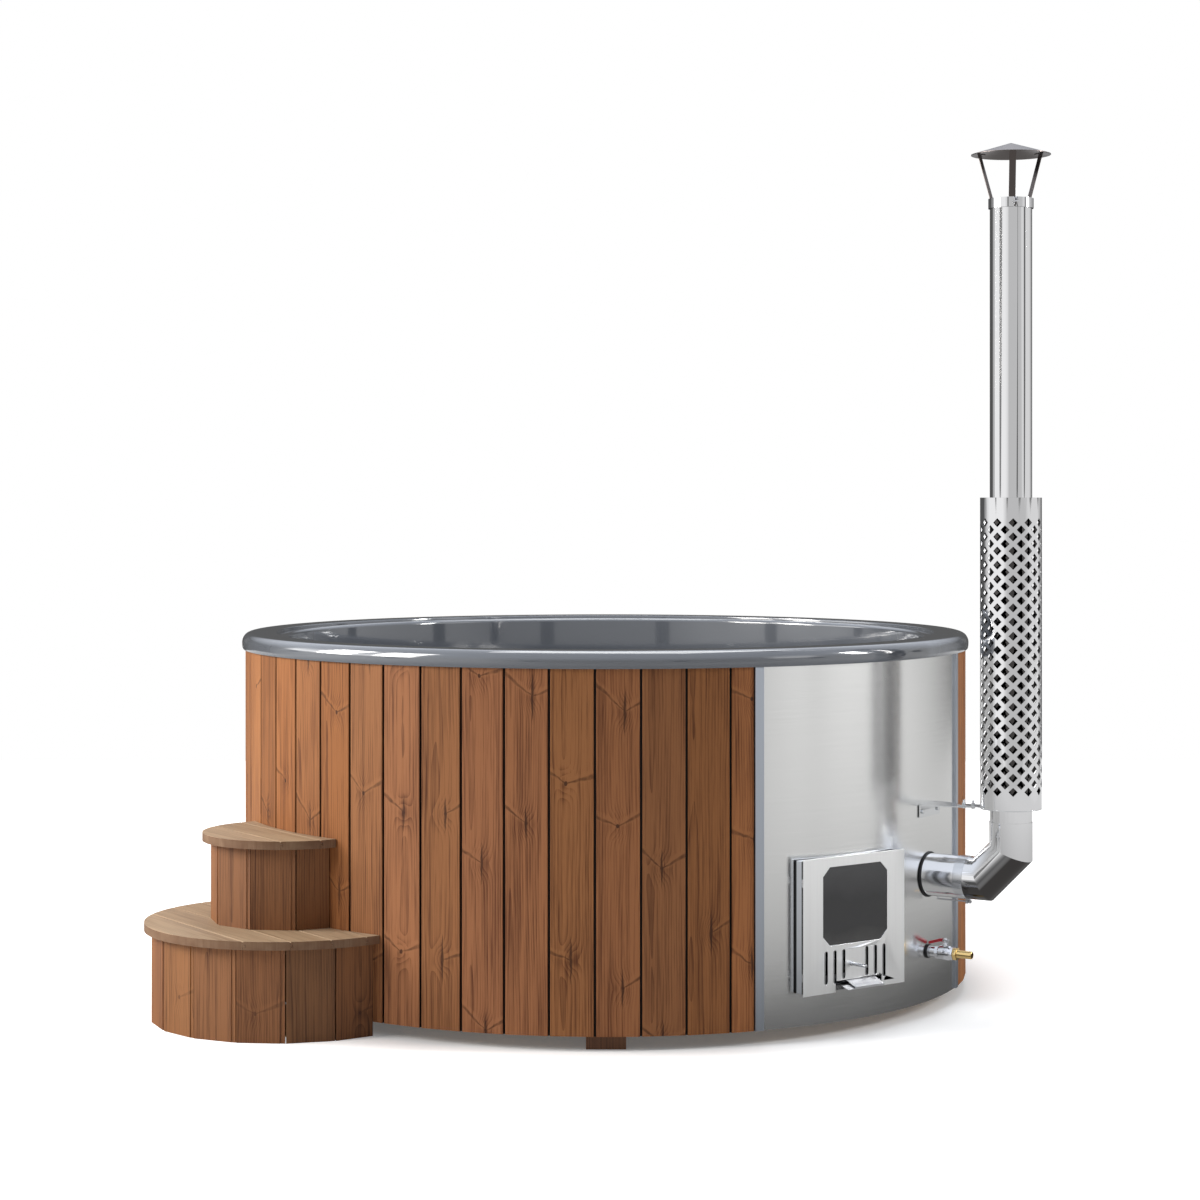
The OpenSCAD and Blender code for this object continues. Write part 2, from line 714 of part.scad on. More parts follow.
module window_shape(y0, y1) translate([window_x, y0, window_z + window_h / 2]) rotate([90, 0, 0])
    linear_extrude(y0 - y1) {
        a = window_w / 2;
        b = window_h / 2;
        c = window_cut;
        polygon([[-a, -b + c], [-a + c, -b], [a - c, -b], [a, -b + c],
                 [a, b - c], [a - c, b], [-a + c, b], [-a, b - c]]);
    }

// Upright slots with round ends.
module air_slots(y0, y1, shift = 0) for (x = slot_xs) {
    foot = slot_foot(x) + slot_w / 2;
    head = slot_top - slot_w / 2;
    block(x + shift, slot_w, y0, y1, foot, head - foot);
    for (z = [foot, head]) rod(slot_w / 2, y0, y1, x = x + shift, z = z);
}

module door_plate() color(steel) at(door_at) difference() {
    block(0, door_w, door_y, door_back, door_z, door_h);
    window_shape(door_back + over, door_y - over);
    air_slots(door_back + over, door_y - over);
    translate([notch_x0, door_y - over, door_z - over])
        cube([notch_x1 - notch_x0, door_t + 2 * over, notch_top - door_z + over]);
}
module door_glass() color("black", 0.7) at(door_at)
    block(window_x, window_w + 2 * glass_edge, glass_y, glass_y + glass_t,
          window_z - glass_edge, window_h + 2 * glass_edge);
// Frame that clamps the glass from behind, with a bar at each side.
module glass_frame() color(black) at(door_at) difference() {
    block(window_x, window_w + 2 * glass_edge + 24, glass_y, glass_y + glass_t + 1.8,
          window_z - glass_edge, window_h + 2 * glass_edge);
    block(window_x, window_w + 2 * glass_edge + fit, glass_y - over, glass_y + glass_t + fit / 2,
          window_z - glass_edge - over, window_h + 2 * glass_edge + 2 * over);
    window_shape(frame_y, door_back);
}
// Rope seal on the door, just clear of the frame.
module door_seal() color("darkslategrey") at(door_at) difference() {
    w = frame_w - 12;
    block(0, w, glass_y, frame_y - slide_fit, frame_z, frame_h - 1);
    block(0, w - 2 * seal_w, door_back, frame_y, frame_z + seal_w, frame_h - 1 - 2 * seal_w);
}
module door_handle() color(steel) at(door_at) {
    rod(pin_d / 2, door_y - 0.1, door_y - pin_l, x = pin_x, z = door_z + pin_up);
    rod(pin_d / 2 + 1.5, door_y - 0.1, door_y - 3, x = pin_x, z = door_z + pin_up);
}

// Angle rails behind the door that hold the slider's upper and lower edges.
module guide(x0, x1, z, up) {
    lip = 2.4;
    translate([x0, glass_y, up ? z + 0.4 : z - 0.4 - 2.4]) cube([x1 - x0, slider_t + 0.5 + guide_t, 2.4]);
    translate([x0, slider_y + slider_t + slide_fit, up ? z - lip : z - 0.4 - 2.4])
        cube([x1 - x0, guide_t, lip + 0.4 + 2.4]);
}
module slider_guides() color(steel) at(door_at) {
    reach = slider_move + over;
    guide(slider_x0 - reach, slider_x1 + reach, slider_top, true);
    guide(slider_x0 - reach, notch_x0 - slider_move - 2, slider_z, false);
    guide(notch_x1 + slider_move + 2, slider_x1 + reach, slider_z, false);
}

// Slotted plate behind the door. A tongue of it is folded out through the notch as a grip.
module air_slider() color(bright) at(door_at) {
    back = slider_y + slider_t;
    difference() {
        translate([slider_x0, slider_y, slider_z])
            cube([slider_x1 - slider_x0, slider_t, slider_top - slider_z]);
        air_slots(back + over, slider_y - over, shift = slider_move);
        translate([notch_x0 - 2, slider_y - over, slider_z - over])
            cube([notch_x1 - notch_x0 + 2, slider_t + 2 * over, notch_top - 0.4 - slider_z + over]);
    }
    edge = door_y - grip_out;
    z = notch_top - 0.8;
    lip = z - grip_drop;
    low = lip + slider_t - fold_h;
    translate([grip_x - grip_w / 2, 0, 0]) rotate([90, 0, 90]) linear_extrude(grip_w) polygon([
        [back, z + 1.6], [slider_y, z + 1.6], [slider_y, z], [edge, lip + slider_t], [edge, low],
        [edge + slider_t, low], [edge + slider_t, lip + 0.6], [back, z - slider_t]]);
    // The part that is folded back under it, open towards the door.
    translate([grip_x - grip_w / 2 - fold_wide, 0, 0]) rotate([90, 0, 90])
        linear_extrude(grip_w + fold_wide) polygon([
            [edge, low], [edge, low + slider_t], [door_y - 9, low + 7 + slider_t], [door_y - 9, low + 7]]);
}

// One hinge barrel. side is 1 with its web to the frame, -1 with its web to the door.
module knuckle(z, h, side, slack) difference() {
    union() {
        translate([hinge_x, hinge_y, z]) cylinder(r = hinge_r, h = h);
        translate([hinge_x, hinge_y + (side > 0 ? 1.7 : -door_gap / 2 + 0.1), z])
            cube([5.5, door_gap / 2 - 1.8, h]);
    }
    translate([hinge_x, hinge_y, z - over]) cylinder(r = hinge_pin_d / 2 + slack, h = h + 2 * over);
}
knuckle_h = hinge_h / 2 - slide_fit / 2;
module hinge_frame() color(steel) at(door_at)
    for (z = hinge_zs) knuckle(z - hinge_h / 2, knuckle_h, 1, 0.02);
module hinge_door() color(steel) at(door_at)
    for (z = hinge_zs) knuckle(z + slide_fit / 2, knuckle_h, -1, run_fit);
module hinge_pins() color(bright) at(door_at)
    for (z = hinge_zs) translate([hinge_x, hinge_y, z - hinge_h / 2]) cylinder(d = hinge_pin_d, h = hinge_h);

// ---- flue ----

spigot_r = flue_r - flue_t - fit;          // swaged end that enters the elbow
mitre_y = -(tub_r + elbow_out);
chimney_y = mitre_y - elbow_run;
chimney_r = flue_r - flue_t - 0.25;        // the chimney slips into the elbow
elbow_top = flue_z + elbow_run + elbow_up;
joint_y = -(tub_r + joint_out);
spigot_l = 30;
flue_in = -(tub_r - 140);                  // where the outlet pipe starts, inside the duct

module flue_stub() color(steel) at(flue_at) difference() {
    union() {
        rod(flue_r, flue_in, joint_y, z = flue_z);
        rod(spigot_r, joint_y + 5, joint_y - spigot_l, z = flue_z);
    }
    rod(spigot_r - flue_t, flue_in + over, joint_y - spigot_l - over, z = flue_z);
}
module flue_gasket() color(black) at(flue_at) difference() {
    union() {
        rod(flue_r + 4, -panel_r - fit, -panel_r - 3, z = flue_z);
        rod(flue_r + 1.8, -panel_r + 9, -panel_r - 1, z = flue_z);
    }
    rod(flue_r + 0.1, -panel_r + 10, -panel_r - 10, z = flue_z);
}

// All that lies on one side of a mitre plane through (y, z).
big = 400;
module mitre_side(y, z, turn, upper)
    translate([0, y, z]) rotate([turn, 0, 0]) translate([-big / 2, -big / 2, upper ? 0 : -big]) cube(big);

// The elbow's path as a solid: a level, a slanting and an upright piece.
module elbow_solid(r, end = 0) {
    z2 = flue_z + elbow_run;
    intersection() {
        rod(r, joint_y + end, mitre_y - 2 * r, z = flue_z);
        mitre_side(mitre_y, flue_z, 67.5, false);
    }
    intersection() {
        translate([0, mitre_y, flue_z]) rotate([45, 0, 0]) translate([0, 0, -2 * r])
            cylinder(r = r, h = elbow_run * sqrt(2) + 4 * r);
        mitre_side(mitre_y, flue_z, 67.5, true);
        mitre_side(chimney_y, z2, 22.5, false);
    }
    intersection() {
        translate([0, chimney_y, z2 - 2 * r]) cylinder(r = r, h = elbow_up + 2 * r + end);
        mitre_side(chimney_y, z2, 22.5, true);
    }
}
module flue_elbow() color(steel) at(flue_at) difference() {
    elbow_solid(flue_r, end = -fit);
    elbow_solid(flue_r - flue_t, end = over);
}

rod_z = flue_z - flue_r - 7;
rod_r = 2;
band_t = 1;
band_l = 26;                               // width of the clamp's band
lug_y = joint_y - band_l / 2;
rod_l = 84;                                // from the lug back to the hook
// Band over the elbow's joint, drawn to the panel's side by a rod that hooks up to the outlet.
module elbow_clamp() color(steel) at(flue_at) {
    difference() {
        union() {
            rod(flue_r + 0.1 + band_t, joint_y + 6, joint_y + 6 - band_l, z = flue_z);
            block(0, 16, lug_y - 3, lug_y + 3, rod_z - 5, flue_z - flue_r - 0.5 - rod_z + 5);
        }
        rod(flue_r + 0.1, joint_y + 7, joint_y + 5 - band_l, z = flue_z);
        rod(rod_r + 0.1, lug_y + 4, lug_y - 4, z = rod_z);
    }
    rod(rod_r, lug_y + rod_l + rod_r, lug_y - 11, z = rod_z);
    translate([0, lug_y + rod_l, rod_z]) cylinder(r = rod_r, h = flue_z - flue_r - 0.1 - rod_z);
    translate([0, lug_y - 3.2, rod_z]) rotate([90, 0, 0]) cylinder(d = 11, h = 5.8, $fn = 6);
}

module at_chimney() at(flue_at) translate([0, chimney_y, 0]) children();

insert = 46;                               // how far the chimney stands in the elbow
module chimney_pipe() color(steel) at_chimney()
    tube(chimney_r, flue_t, elbow_top - insert, chimney_top - elbow_top + insert);

hole_turn = -4.8 - flue_at;                // bearing of a long column of holes
// Perforated sleeve: long columns of diamonds, with short ones half a step up between them.
module heat_guard() color("gainsboro") at_chimney() difference() {
    tube(guard_d / 2, guard_t, guard_z, guard_h);
    for (c = [0:guard_n - 1], kind = [0, 1])
        rotate([0, 0, (c + kind / 2) * 360 / guard_n + hole_turn])
            for (row = [0:guard_rows - 1 - kind])
                translate([0, -guard_d / 2 + 6, guard_z + diamond_up + (row + kind / 2) * guard_step])
                    rotate([90, 0, 0]) linear_extrude(10) circle(d = diamond, $fn = 4);
}
module guard_spacer() color(steel) at_chimney()
    tube(guard_d / 2 - guard_t - fit, guard_d / 2 - guard_t - chimney_r - 2 * fit, guard_z + guard_h - 20, 2);

ring_z = guard_z - plate_t;
arm_z = ring_z - plate_t;
bolt_r = 3;
bolt_x = 45;
bolt_z = arm_z - 15;
bracket_y = -panel_r - fit;
tie_out = 96;                              // distance of the inner tie bolt past the boards
tie_step = 26;                             // and of the outer one past it
tie_ys = [-(tub_r + tie_out), -(tub_r + tie_out + tie_step)];
// Ring plate under the guard, with an arm back to the bracket.
module guard_ring() color(steel) at(flue_at) translate([0, 0, ring_z]) difference() {
    union() {
        translate([0, chimney_y, 0]) cylinder(d = guard_d, h = plate_t);
        linear_extrude(plate_t) polygon([
            [-16, tie_ys[0] + 12], [16, tie_ys[0] + 12], [30, chimney_y + 60], [-30, chimney_y + 60]]);
    }
    translate([0, chimney_y, -over]) cylinder(r = chimney_r + fit, h = plate_t + 2 * over);
    for (y = tie_ys) translate([0, y, -over]) cylinder(r = bolt_r + fit, h = plate_t + 2 * over);
}
// Angle bracket on the panel.
module support_bracket() color(steel) at(flue_at) difference() {
    union() {
        translate([0, 0, arm_z - fit]) linear_extrude(plate_t) polygon([
            [-60, bracket_y], [60, bracket_y], [18, tie_ys[1] - 10], [-18, tie_ys[1] - 10]]);
        block(0, 120, bracket_y, bracket_y - plate_t, arm_z - 30, 30);
    }
    for (y = tie_ys) translate([0, y, arm_z - over]) cylinder(r = bolt_r + fit, h = plate_t + 2 * over);
    for (x = [-bolt_x, bolt_x]) rod(bolt_r + fit, bracket_y + 5, bracket_y - 10, x = x, z = bolt_z);
}
module bracket_bolts() color(bright) at(flue_at) {
    for (x = [-bolt_x, bolt_x]) {
        rod(bolt_r, bracket_y + 12, bracket_y - plate_t - 1, x = x, z = bolt_z);
        rod(5.5, bracket_y - plate_t - fit, bracket_y - plate_t - 4, x = x, z = bolt_z);
    }
    for (y = tie_ys) translate([0, y, 0]) {
        translate([0, 0, arm_z - 4]) cylinder(r = bolt_r, h = 2 * plate_t + 16);
        translate([0, 0, ring_z + plate_t + 0.1]) rotate([0, 0, 15]) cylinder(d = 11, h = 5, $fn = 6);
        translate([0, 0, arm_z - 4 - 0.5]) rotate([0, 0, 15]) cylinder(d = 11, h = 4, $fn = 6);
    }
}

// ---- rain cap ----

leg_t = 1.5;
cap_t = 1.3;
cap_z = chimney_top + cap_up;
collar_t = 1.5;
collar_z = chimney_top - collar_h;
leg_foot = chimney_r + 0.05;               // the legs' feet lie between the pipe and the collar
collar_r = sqrt(pow(leg_foot + leg_t, 2) + pow(leg_w / 2, 2)) + 0.05 + collar_t;
leg_turn = -5.8 - flue_at;                 // the first leg faces the front
ear_turn = leg_turn + 7;

// Split collar that clamps the cap to the chimney, with two ears and a screw.
module cap_collar() color(steel) at_chimney() {
    difference() {
        union() {
            tube(collar_r, collar_t, collar_z, collar_h);
            rotate([0, 0, ear_turn]) block(0, 7, -collar_r + 0.5, -collar_r - 14, collar_z + 4, collar_h - 8);
        }
        rotate([0, 0, ear_turn]) {
            block(0, 4, -collar_r + 4, -collar_r - 20, collar_z - over, collar_h + 2 * over);
            translate([-10, -collar_r - 8, collar_z + collar_h / 2]) rotate([0, 90, 0])
                cylinder(r = 2.1, h = 20);
        }
    }
    rotate([0, 0, ear_turn]) translate([0, -collar_r - 8, collar_z + collar_h / 2]) rotate([0, 90, 0]) {
        translate([0, 0, -6]) cylinder(r = 2, h = 14);
        translate([0, 0, 3.6]) cylinder(d = 9, h = 3, $fn = 6);
        translate([0, 0, -6.6]) cylinder(d = 9, h = 3, $fn = 6);
    }
}

function under_cap(r) = cap_z - cap_t - fit + (cap_r - r) * cap_h / cap_r;
// Three straps from the collar up to the cone, folded in under it.
module cap_legs() color(steel) at_chimney() {
    foot = leg_foot;
    top = cap_r - 13;
    tab = top - 12;
    for (i = [0:2]) rotate([0, 0, leg_turn - 90 + i * 120]) translate([0, leg_w / 2, 0])
        rotate([90, 0, 0]) linear_extrude(leg_w) polygon([
            [foot, collar_z + 1], [foot + leg_t, collar_z + 1], [foot + leg_t, chimney_top],
            [top + leg_t, under_cap(top + leg_t)], [tab, under_cap(tab)], [tab, under_cap(tab) - leg_t],
            [top - 0.6, under_cap(top - 0.6) - leg_t], [foot, chimney_top + 0.5]]);
}
module cap_cone() color(black) at_chimney() rotate_extrude() polygon([
    [0, cap_z + cap_h], [cap_r, cap_z], [cap_r, cap_z - cap_t], [0, cap_z + cap_h - cap_t]]);

// ---- steps ----

step_y = -(tub_r - step_in);
boards1 = 10;                              // lower front boards, and the angle of each
angle1 = 20.3;
boards2 = 6;                               // upper front boards, and the angle of each
angle2 = 33.5;
lap_w = 12;                                // lowered strip beside each joint
lap_d = 2;

// Places a step piece by its middle and removes the tub's jacket from it.
module beside_tub(z) at(step_at) difference() {
    translate([0, step_y, z]) children();
    translate([0, 0, -over]) cylinder(r = tub_r + step_gap, h = rim_top, $fn = smooth);
}

// Upright front boards round a half disc.
module front_boards(r, n, ang, h) for (i = [0:n - 1]) rotate([0, 0, (i - (n - 1) / 2) * ang]) {
    face = r * cos(ang / 2);
    edge = r * sin(ang / 2) - riser_gap / 2;
    back_edge = edge - riser_t * tan(ang / 2);
    linear_extrude(h) polygon([
        [-edge, -face], [edge - lap_w, -face], [edge - lap_w, -face + lap_d], [edge - 0.4, -face + lap_d],
        [back_edge, -face + riser_t], [-back_edge, -face + riser_t]]);
}
module riser_lower() color(wood) beside_tub(0) front_boards(riser_r1, boards1, angle1, tread_z1 - tread_t);
module riser_upper() color(wood)
    beside_tub(tread_z1 + fit) front_boards(riser_r2, boards2, angle2, tread_z2 - tread_t - tread_z1 - fit);

// Tongued boards sawn to a disc. joint is how far the outer joint lies from the middle.
module tread(r, joint, n) intersection() {
    lip0 = tread_t * 0.36;
    lip1 = tread_t * 0.64;
    cylinder(r = r, h = tread_t, $fn = smooth);
    rotate([90, 0, 90]) translate([0, 0, -r - over]) for (i = [0:n - 1]) {
        out = i == 0 ? -r - 20 : -joint + (i - 1) * tread_w;
        in = -joint + i * tread_w - 0.6;
        linear_extrude(2 * r + 2 * over) polygon([
            [out, 0], [in, 0], [in, lip0], [in + 5, lip0], [in + 5, lip1], [in, lip1],
            [in, tread_t - 2], [in - 2, tread_t], [out + 2, tread_t], [out, tread_t - 2],
            [out, lip1 + 0.5], [out + 5.5, lip1 + 0.5], [out + 5.5, lip0 - 0.5], [out, lip0 - 0.5]]);
    }
}
joint1 = 265;
joint2 = 123;
module tread_lower() color(pale_wood) beside_tub(tread_z1 - tread_t) tread(tread_r1, joint1, 5);
module tread_upper() color(pale_wood) beside_tub(tread_z2 - tread_t) tread(tread_r2, joint2, 3);

former_t = 18;
former_r1 = riser_r1 * cos(angle1 / 2) - riser_t - fit;
former_r2 = riser_r2 * cos(angle2 / 2) - riser_t - fit;
// Plywood half discs that the front boards are screwed to.
module step_formers() color(plywood) {
    for (z = [12, tread_z1 - tread_t - former_t - fit]) beside_tub(z) cylinder(r = former_r1, h = former_t);
    for (z = [tread_z1 + fit, tread_z2 - tread_t - former_t - fit])
        beside_tub(z) cylinder(r = former_r2, h = former_t);
}

// ---- the part ----

runner_middle();
runners_side();
base_deck();
liner_supports();
hoop_lower();
hoop_middle();
hoop_upper();
jacket_right();
jacket_back();
jacket_left();
jacket_front();
steel_panel();
steel_trims();
panel_ribs();
liner();
drain_strainer();
drain_waste();
drain_pipe();
drain_gasket();
valve_body();
valve_ball();
valve_stem();
valve_lever();
lever_grip();
hose_tail();
firebox();
water_jacket();
smoke_duct();
door_frame();
fire_grate();
water_pipes();
water_grilles();
door_plate();
door_glass();
glass_frame();
door_seal();
door_handle();
slider_guides();
air_slider();
hinge_frame();
hinge_door();
hinge_pins();
flue_stub();
flue_gasket();
flue_elbow();
elbow_clamp();
chimney_pipe();
heat_guard();
guard_ring();
guard_spacer();
support_bracket();
bracket_bolts();
cap_collar();
cap_legs();
cap_cone();
riser_lower();
tread_lower();
riser_upper();
tread_upper();
step_formers();
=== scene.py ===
"""A round wooden hot tub with a wood stove in its wall, its flue, drain valve and steps."""

import math

import bmesh
import bpy
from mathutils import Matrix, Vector


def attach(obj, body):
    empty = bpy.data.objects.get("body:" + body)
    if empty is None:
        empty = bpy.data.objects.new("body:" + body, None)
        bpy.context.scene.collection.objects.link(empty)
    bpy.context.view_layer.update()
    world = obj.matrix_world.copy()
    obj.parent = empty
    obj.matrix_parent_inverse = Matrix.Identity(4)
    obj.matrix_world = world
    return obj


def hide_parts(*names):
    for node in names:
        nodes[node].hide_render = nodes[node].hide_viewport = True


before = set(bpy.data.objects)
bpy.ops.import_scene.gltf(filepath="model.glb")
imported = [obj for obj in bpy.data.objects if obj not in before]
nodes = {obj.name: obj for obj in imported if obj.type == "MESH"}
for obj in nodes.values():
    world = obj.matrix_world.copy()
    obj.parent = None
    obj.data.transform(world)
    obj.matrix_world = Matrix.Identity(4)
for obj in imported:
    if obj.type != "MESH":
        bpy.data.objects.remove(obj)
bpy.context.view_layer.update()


# ---- Studio ----
# The tub stands on white paper in a white room. Two large soft lamps stand to the left, one hangs
# above, and a narrow one lights the rim from the right. Metal and glass see paler and darker walls.

studio = bpy.context.scene
studio.view_settings.view_transform = "Standard"
eye = bpy.data.objects.new("eye", bpy.data.cameras.new("eye"))
studio.collection.objects.link(eye)
eye.location = (-0.0147, -7.404, 1.348)  # solved from the outlines of the rim and the jacket's foot
eye.rotation_euler = (math.radians(90), 0, 0)
eye.data.sensor_width = 36.0
eye.data.lens = 79.29
eye.data.shift_y = -0.0873
studio.camera = eye


def put(tree, kind, sockets=None, **settings):
    """Adds a shader node. A socket takes a value or another node's output."""
    made = tree.nodes.new(kind)
    for name, value in settings.items():
        setattr(made, name, value)
    for key, value in (sockets or {}).items():
        if isinstance(value, bpy.types.NodeSocket):
            tree.links.new(value, made.inputs[key])
        else:
            made.inputs[key].default_value = value
    return made


def calc(tree, operation, *values, clamp=False):
    """One step of arithmetic on numbers or sockets."""
    step = put(tree, "ShaderNodeMath", dict(enumerate(values)), operation=operation, use_clamp=clamp)
    return step.outputs[0]


def between(tree, value, start, end, first=0.0, last=1.0, smooth=False):
    """Runs from first where value is start to last where it is end, and holds them beyond."""
    return put(tree, "ShaderNodeMapRange", {0: value, 1: start, 2: end, 3: first, 4: last},
               interpolation_type="SMOOTHSTEP" if smooth else "LINEAR").outputs[0]


def blend(tree, share, first, second, kind="MIX"):
    """The first colour where share is 0 and the second where it is 1."""
    first, second = [(*colour, 1) if isinstance(colour, tuple) else colour for colour in (first, second)]
    return put(tree, "ShaderNodeMix", {"Factor": share, 6: first, 7: second}, data_type="RGBA",
               blend_type=kind).outputs[2]


def bearing_of(tree, x, y):
    """The angle from the front, which is -Y, round towards +X, in radians."""
    return calc(tree, "ARCTAN2", x, calc(tree, "MULTIPLY", y, -1.0))


def length_of(tree, x, y):
    return calc(tree, "SQRT", calc(tree, "ADD", calc(tree, "POWER", x, 2.0), calc(tree, "POWER", y, 2.0)))


def off_middle(tree, value):
    """How far a share lies from its middle, from -0.5 to 0.5."""
    return calc(tree, "SUBTRACT", value, 0.5)


def xyz(tree):
    """The point on the piece, in the part's own metres."""
    return put(tree, "ShaderNodeSeparateXYZ", {0: put(tree, "ShaderNodeTexCoord").outputs["Object"]}).outputs


def upward(tree, which):
    """How far the face looks up, from -1 to 1. which is "Normal" or "True Normal"."""
    return put(tree, "ShaderNodeSeparateXYZ", {0: put(tree, "ShaderNodeNewGeometry").outputs[which]}).outputs[2]


def speckle(tree, scale, detail=2.0):
    """Soft noise over a piece, with scale spots or so to the metre."""
    return put(tree, "ShaderNodeTexNoise", {"Vector": put(tree, "ShaderNodeTexCoord").outputs["Object"],
                                            "Scale": scale, "Detail": detail}).outputs[0]


def bump(tree, strength, distance, height):
    """The normal of a surface whose relief is height times distance, in metres."""
    relief = put(tree, "ShaderNodeBump", {"Strength": strength, "Distance": distance, "Height": height})
    return relief.outputs[0]


def ramp(tree, factor, *stops):
    """Grey or colour by place along factor, straight from stop to stop."""
    made = put(tree, "ShaderNodeValToRGB", {0: factor})
    for i, (place, colour) in enumerate(stops):
        stop = made.color_ramp.elements[i] if i < 2 else made.color_ramp.elements.new(place)
        stop.position = place
        stop.color = (colour, colour, colour, 1) if isinstance(colour, float) else (*colour, 1)
    return made.outputs[0]


def material(name):
    made = bpy.data.materials.new(name)
    made.use_nodes = True
    made.node_tree.nodes.clear()
    return made, made.node_tree


def surface_of(tree, sockets):
    """The material's Principled surface."""
    surface = put(tree, "ShaderNodeBsdfPrincipled", sockets)
    put(tree, "ShaderNodeOutputMaterial", {0: surface.outputs[0]})
    return surface


room = bpy.data.worlds.new("white_room")
studio.world = room
room.use_nodes = True
tree = room.node_tree
tree.nodes.clear()
ray = put(tree, "ShaderNodeLightPath")
way = put(tree, "ShaderNodeSeparateXYZ", {0: put(tree, "ShaderNodeTexCoord").outputs["Generated"]}).outputs
climb = way[2]
full_turn = 360
bearing = calc(tree, "FRACT", calc(tree, "DIVIDE", bearing_of(tree, way[0], way[1]), 2 * math.pi))


def round_room(*tones):
    """Brightness by bearing in degrees, from the front round by +X."""
    return ramp(tree, bearing, *[(at / full_turn, tone) for at, tone in tones])


# Metal and glass see a plain room: middling walls in front, paler ones to both sides, a dim one
# behind.
walls = round_room((0, 0.6), (45, 0.6), (60, 0.8), (110, 0.8), (150, 0.1), (230, 0.1), (260, 1.0), (320, 1.0),
                   (340, 0.6), (360, 0.6))
# Two windows stand high in it, a wide one to the left and a narrow one to the right.
window_light = 3.6
windows = calc(tree, "MULTIPLY", round_room(
    (0, 0.0), (50, 0.0), (55, 0.5), (65, 0.5), (70, 0.0), (240, 0.0), (245, 1.0), (290, 1.0), (295, 0.0),
    (360, 0.0)), window_light)
over_sill = between(tree, climb, 0.12, 0.20, smooth=True)
under_head = between(tree, climb, 0.40, 0.60, 1.0, 0.0, smooth=True)
in_window = calc(tree, "MULTIPLY", over_sill, under_head)
walls = calc(tree, "ADD", walls, calc(tree, "MULTIPLY", windows, in_window))
# Behind the tub the paper runs on, well below the horizon.
paper_white = (0.85, 0.86, 0.88)
behind = round_room((126, 0.0), (145, 1.0), (225, 1.0), (240, 0.0))
on_paper = calc(tree, "MULTIPLY", behind, between(tree, climb, -0.16, -0.12, 1.0, 0.0))
walls = blend(tree, on_paper, walls, paper_white)
# Eight like posts stand evenly round the room, in a band over the horizon. The chimney pipe
# mirrors them as thin lines.
post_count, post_half, post_edge = 8, 0.05, 0.07
post_dark = (0.15, 0.15, 0.15)
from_post = calc(tree, "ABSOLUTE", off_middle(tree, calc(tree, "FRACT", calc(
    tree, "MULTIPLY", bearing, post_count))))
in_band = calc(tree, "MULTIPLY", between(tree, climb, -0.004, 0.001),
               between(tree, climb, 0.12, 0.16, 1.0, 0.0))
in_post = calc(tree, "MULTIPLY", in_band, between(tree, from_post, post_half, post_edge, 1.0, 0.0))
walls = blend(tree, in_post, walls, post_dark)
sky = (1.08, 1.14, 1.26)
seen = blend(tree, between(tree, climb, 0.16, 0.50), walls, sky)
# Matt surfaces get an even light from all sides, and the camera sees white.
even_light, white = (0.155, 0.16, 0.175), (1, 1, 1)
mirrored = calc(tree, "MAXIMUM", ray.outputs["Is Glossy Ray"], ray.outputs["Is Transmission Ray"])
shown = blend(tree, ray.outputs["Is Camera Ray"], blend(tree, mirrored, even_light, seen), white)
put(tree, "ShaderNodeOutputWorld", {0: put(tree, "ShaderNodeBackground", {0: shown}).outputs[0]})


def lamp(name, place, aim, size, power, colour=(1, 1, 1)):
    """A soft rectangular lamp that looks at aim. size is its width and height in metres."""
    made = bpy.data.objects.new(name, bpy.data.lights.new(name, "AREA"))
    studio.collection.objects.link(made)
    made.location = place
    made.rotation_euler = (Vector(aim) - Vector(place)).to_track_quat("-Z", "Y").to_euler()
    made.data.shape = "RECTANGLE"
    made.data.size, made.data.size_y = size
    made.data.energy = power
    made.data.color = colour


warm, steps_side = (1.0, 0.97, 0.93), (-0.4, 0, 0.6)
lamp("side_lamp", (-5.2, -2.6, 3.4), steps_side, (1.6, 3.2), 180, warm)
lamp("far_side_lamp", (-5.8, -0.4, 3.2), steps_side, (1.6, 3.0), 230, warm)
lamp("top_lamp", (0.3, 0.6, 5.2), (0.1, 0, 0.5), (3.2, 3.2), 110)
lamp("rim_lamp", (5.9, -1.1, 3.2), (0, 0, 0.8), (0.5, 1.6), 140)

# The paper is pure white to the camera, apart from the soft shadow under the tub, which a glow that
# fades towards the tub deepens as painted shadow. Metal sees it darken towards the tub, a painted shadow.
paper, tree = material("floor_paper")
ray = put(tree, "ShaderNodeLightPath")
paper_half = 6.0
spot = xyz(tree)
out = calc(tree, "DIVIDE", length_of(tree, spot[0], spot[1]), paper_half)


def by_distance(*tones):
    """Brightness by the distance in metres from the tub's middle."""
    return ramp(tree, out, *[(metres / paper_half, tone) for metres, tone in tones])


# Painted shadow: both ramps fall towards the tub, for mirrors and for the camera's glow.
mirrored = by_distance((1.3, 0.1), (2.3, 0.45), (5.5, 0.75))
lift = by_distance((0.95, 0.10), (1.12, 0.45), (1.5, 0.66), (3.6, 1.0))
matt = put(tree, "ShaderNodeBsdfDiffuse", {0: (0.93, 0.93, 0.93, 1)})
glow = put(tree, "ShaderNodeEmission", {0: lift, 1: ray.outputs["Is Camera Ray"]})
lit = put(tree, "ShaderNodeAddShader", {0: matt.outputs[0], 1: glow.outputs[0]})
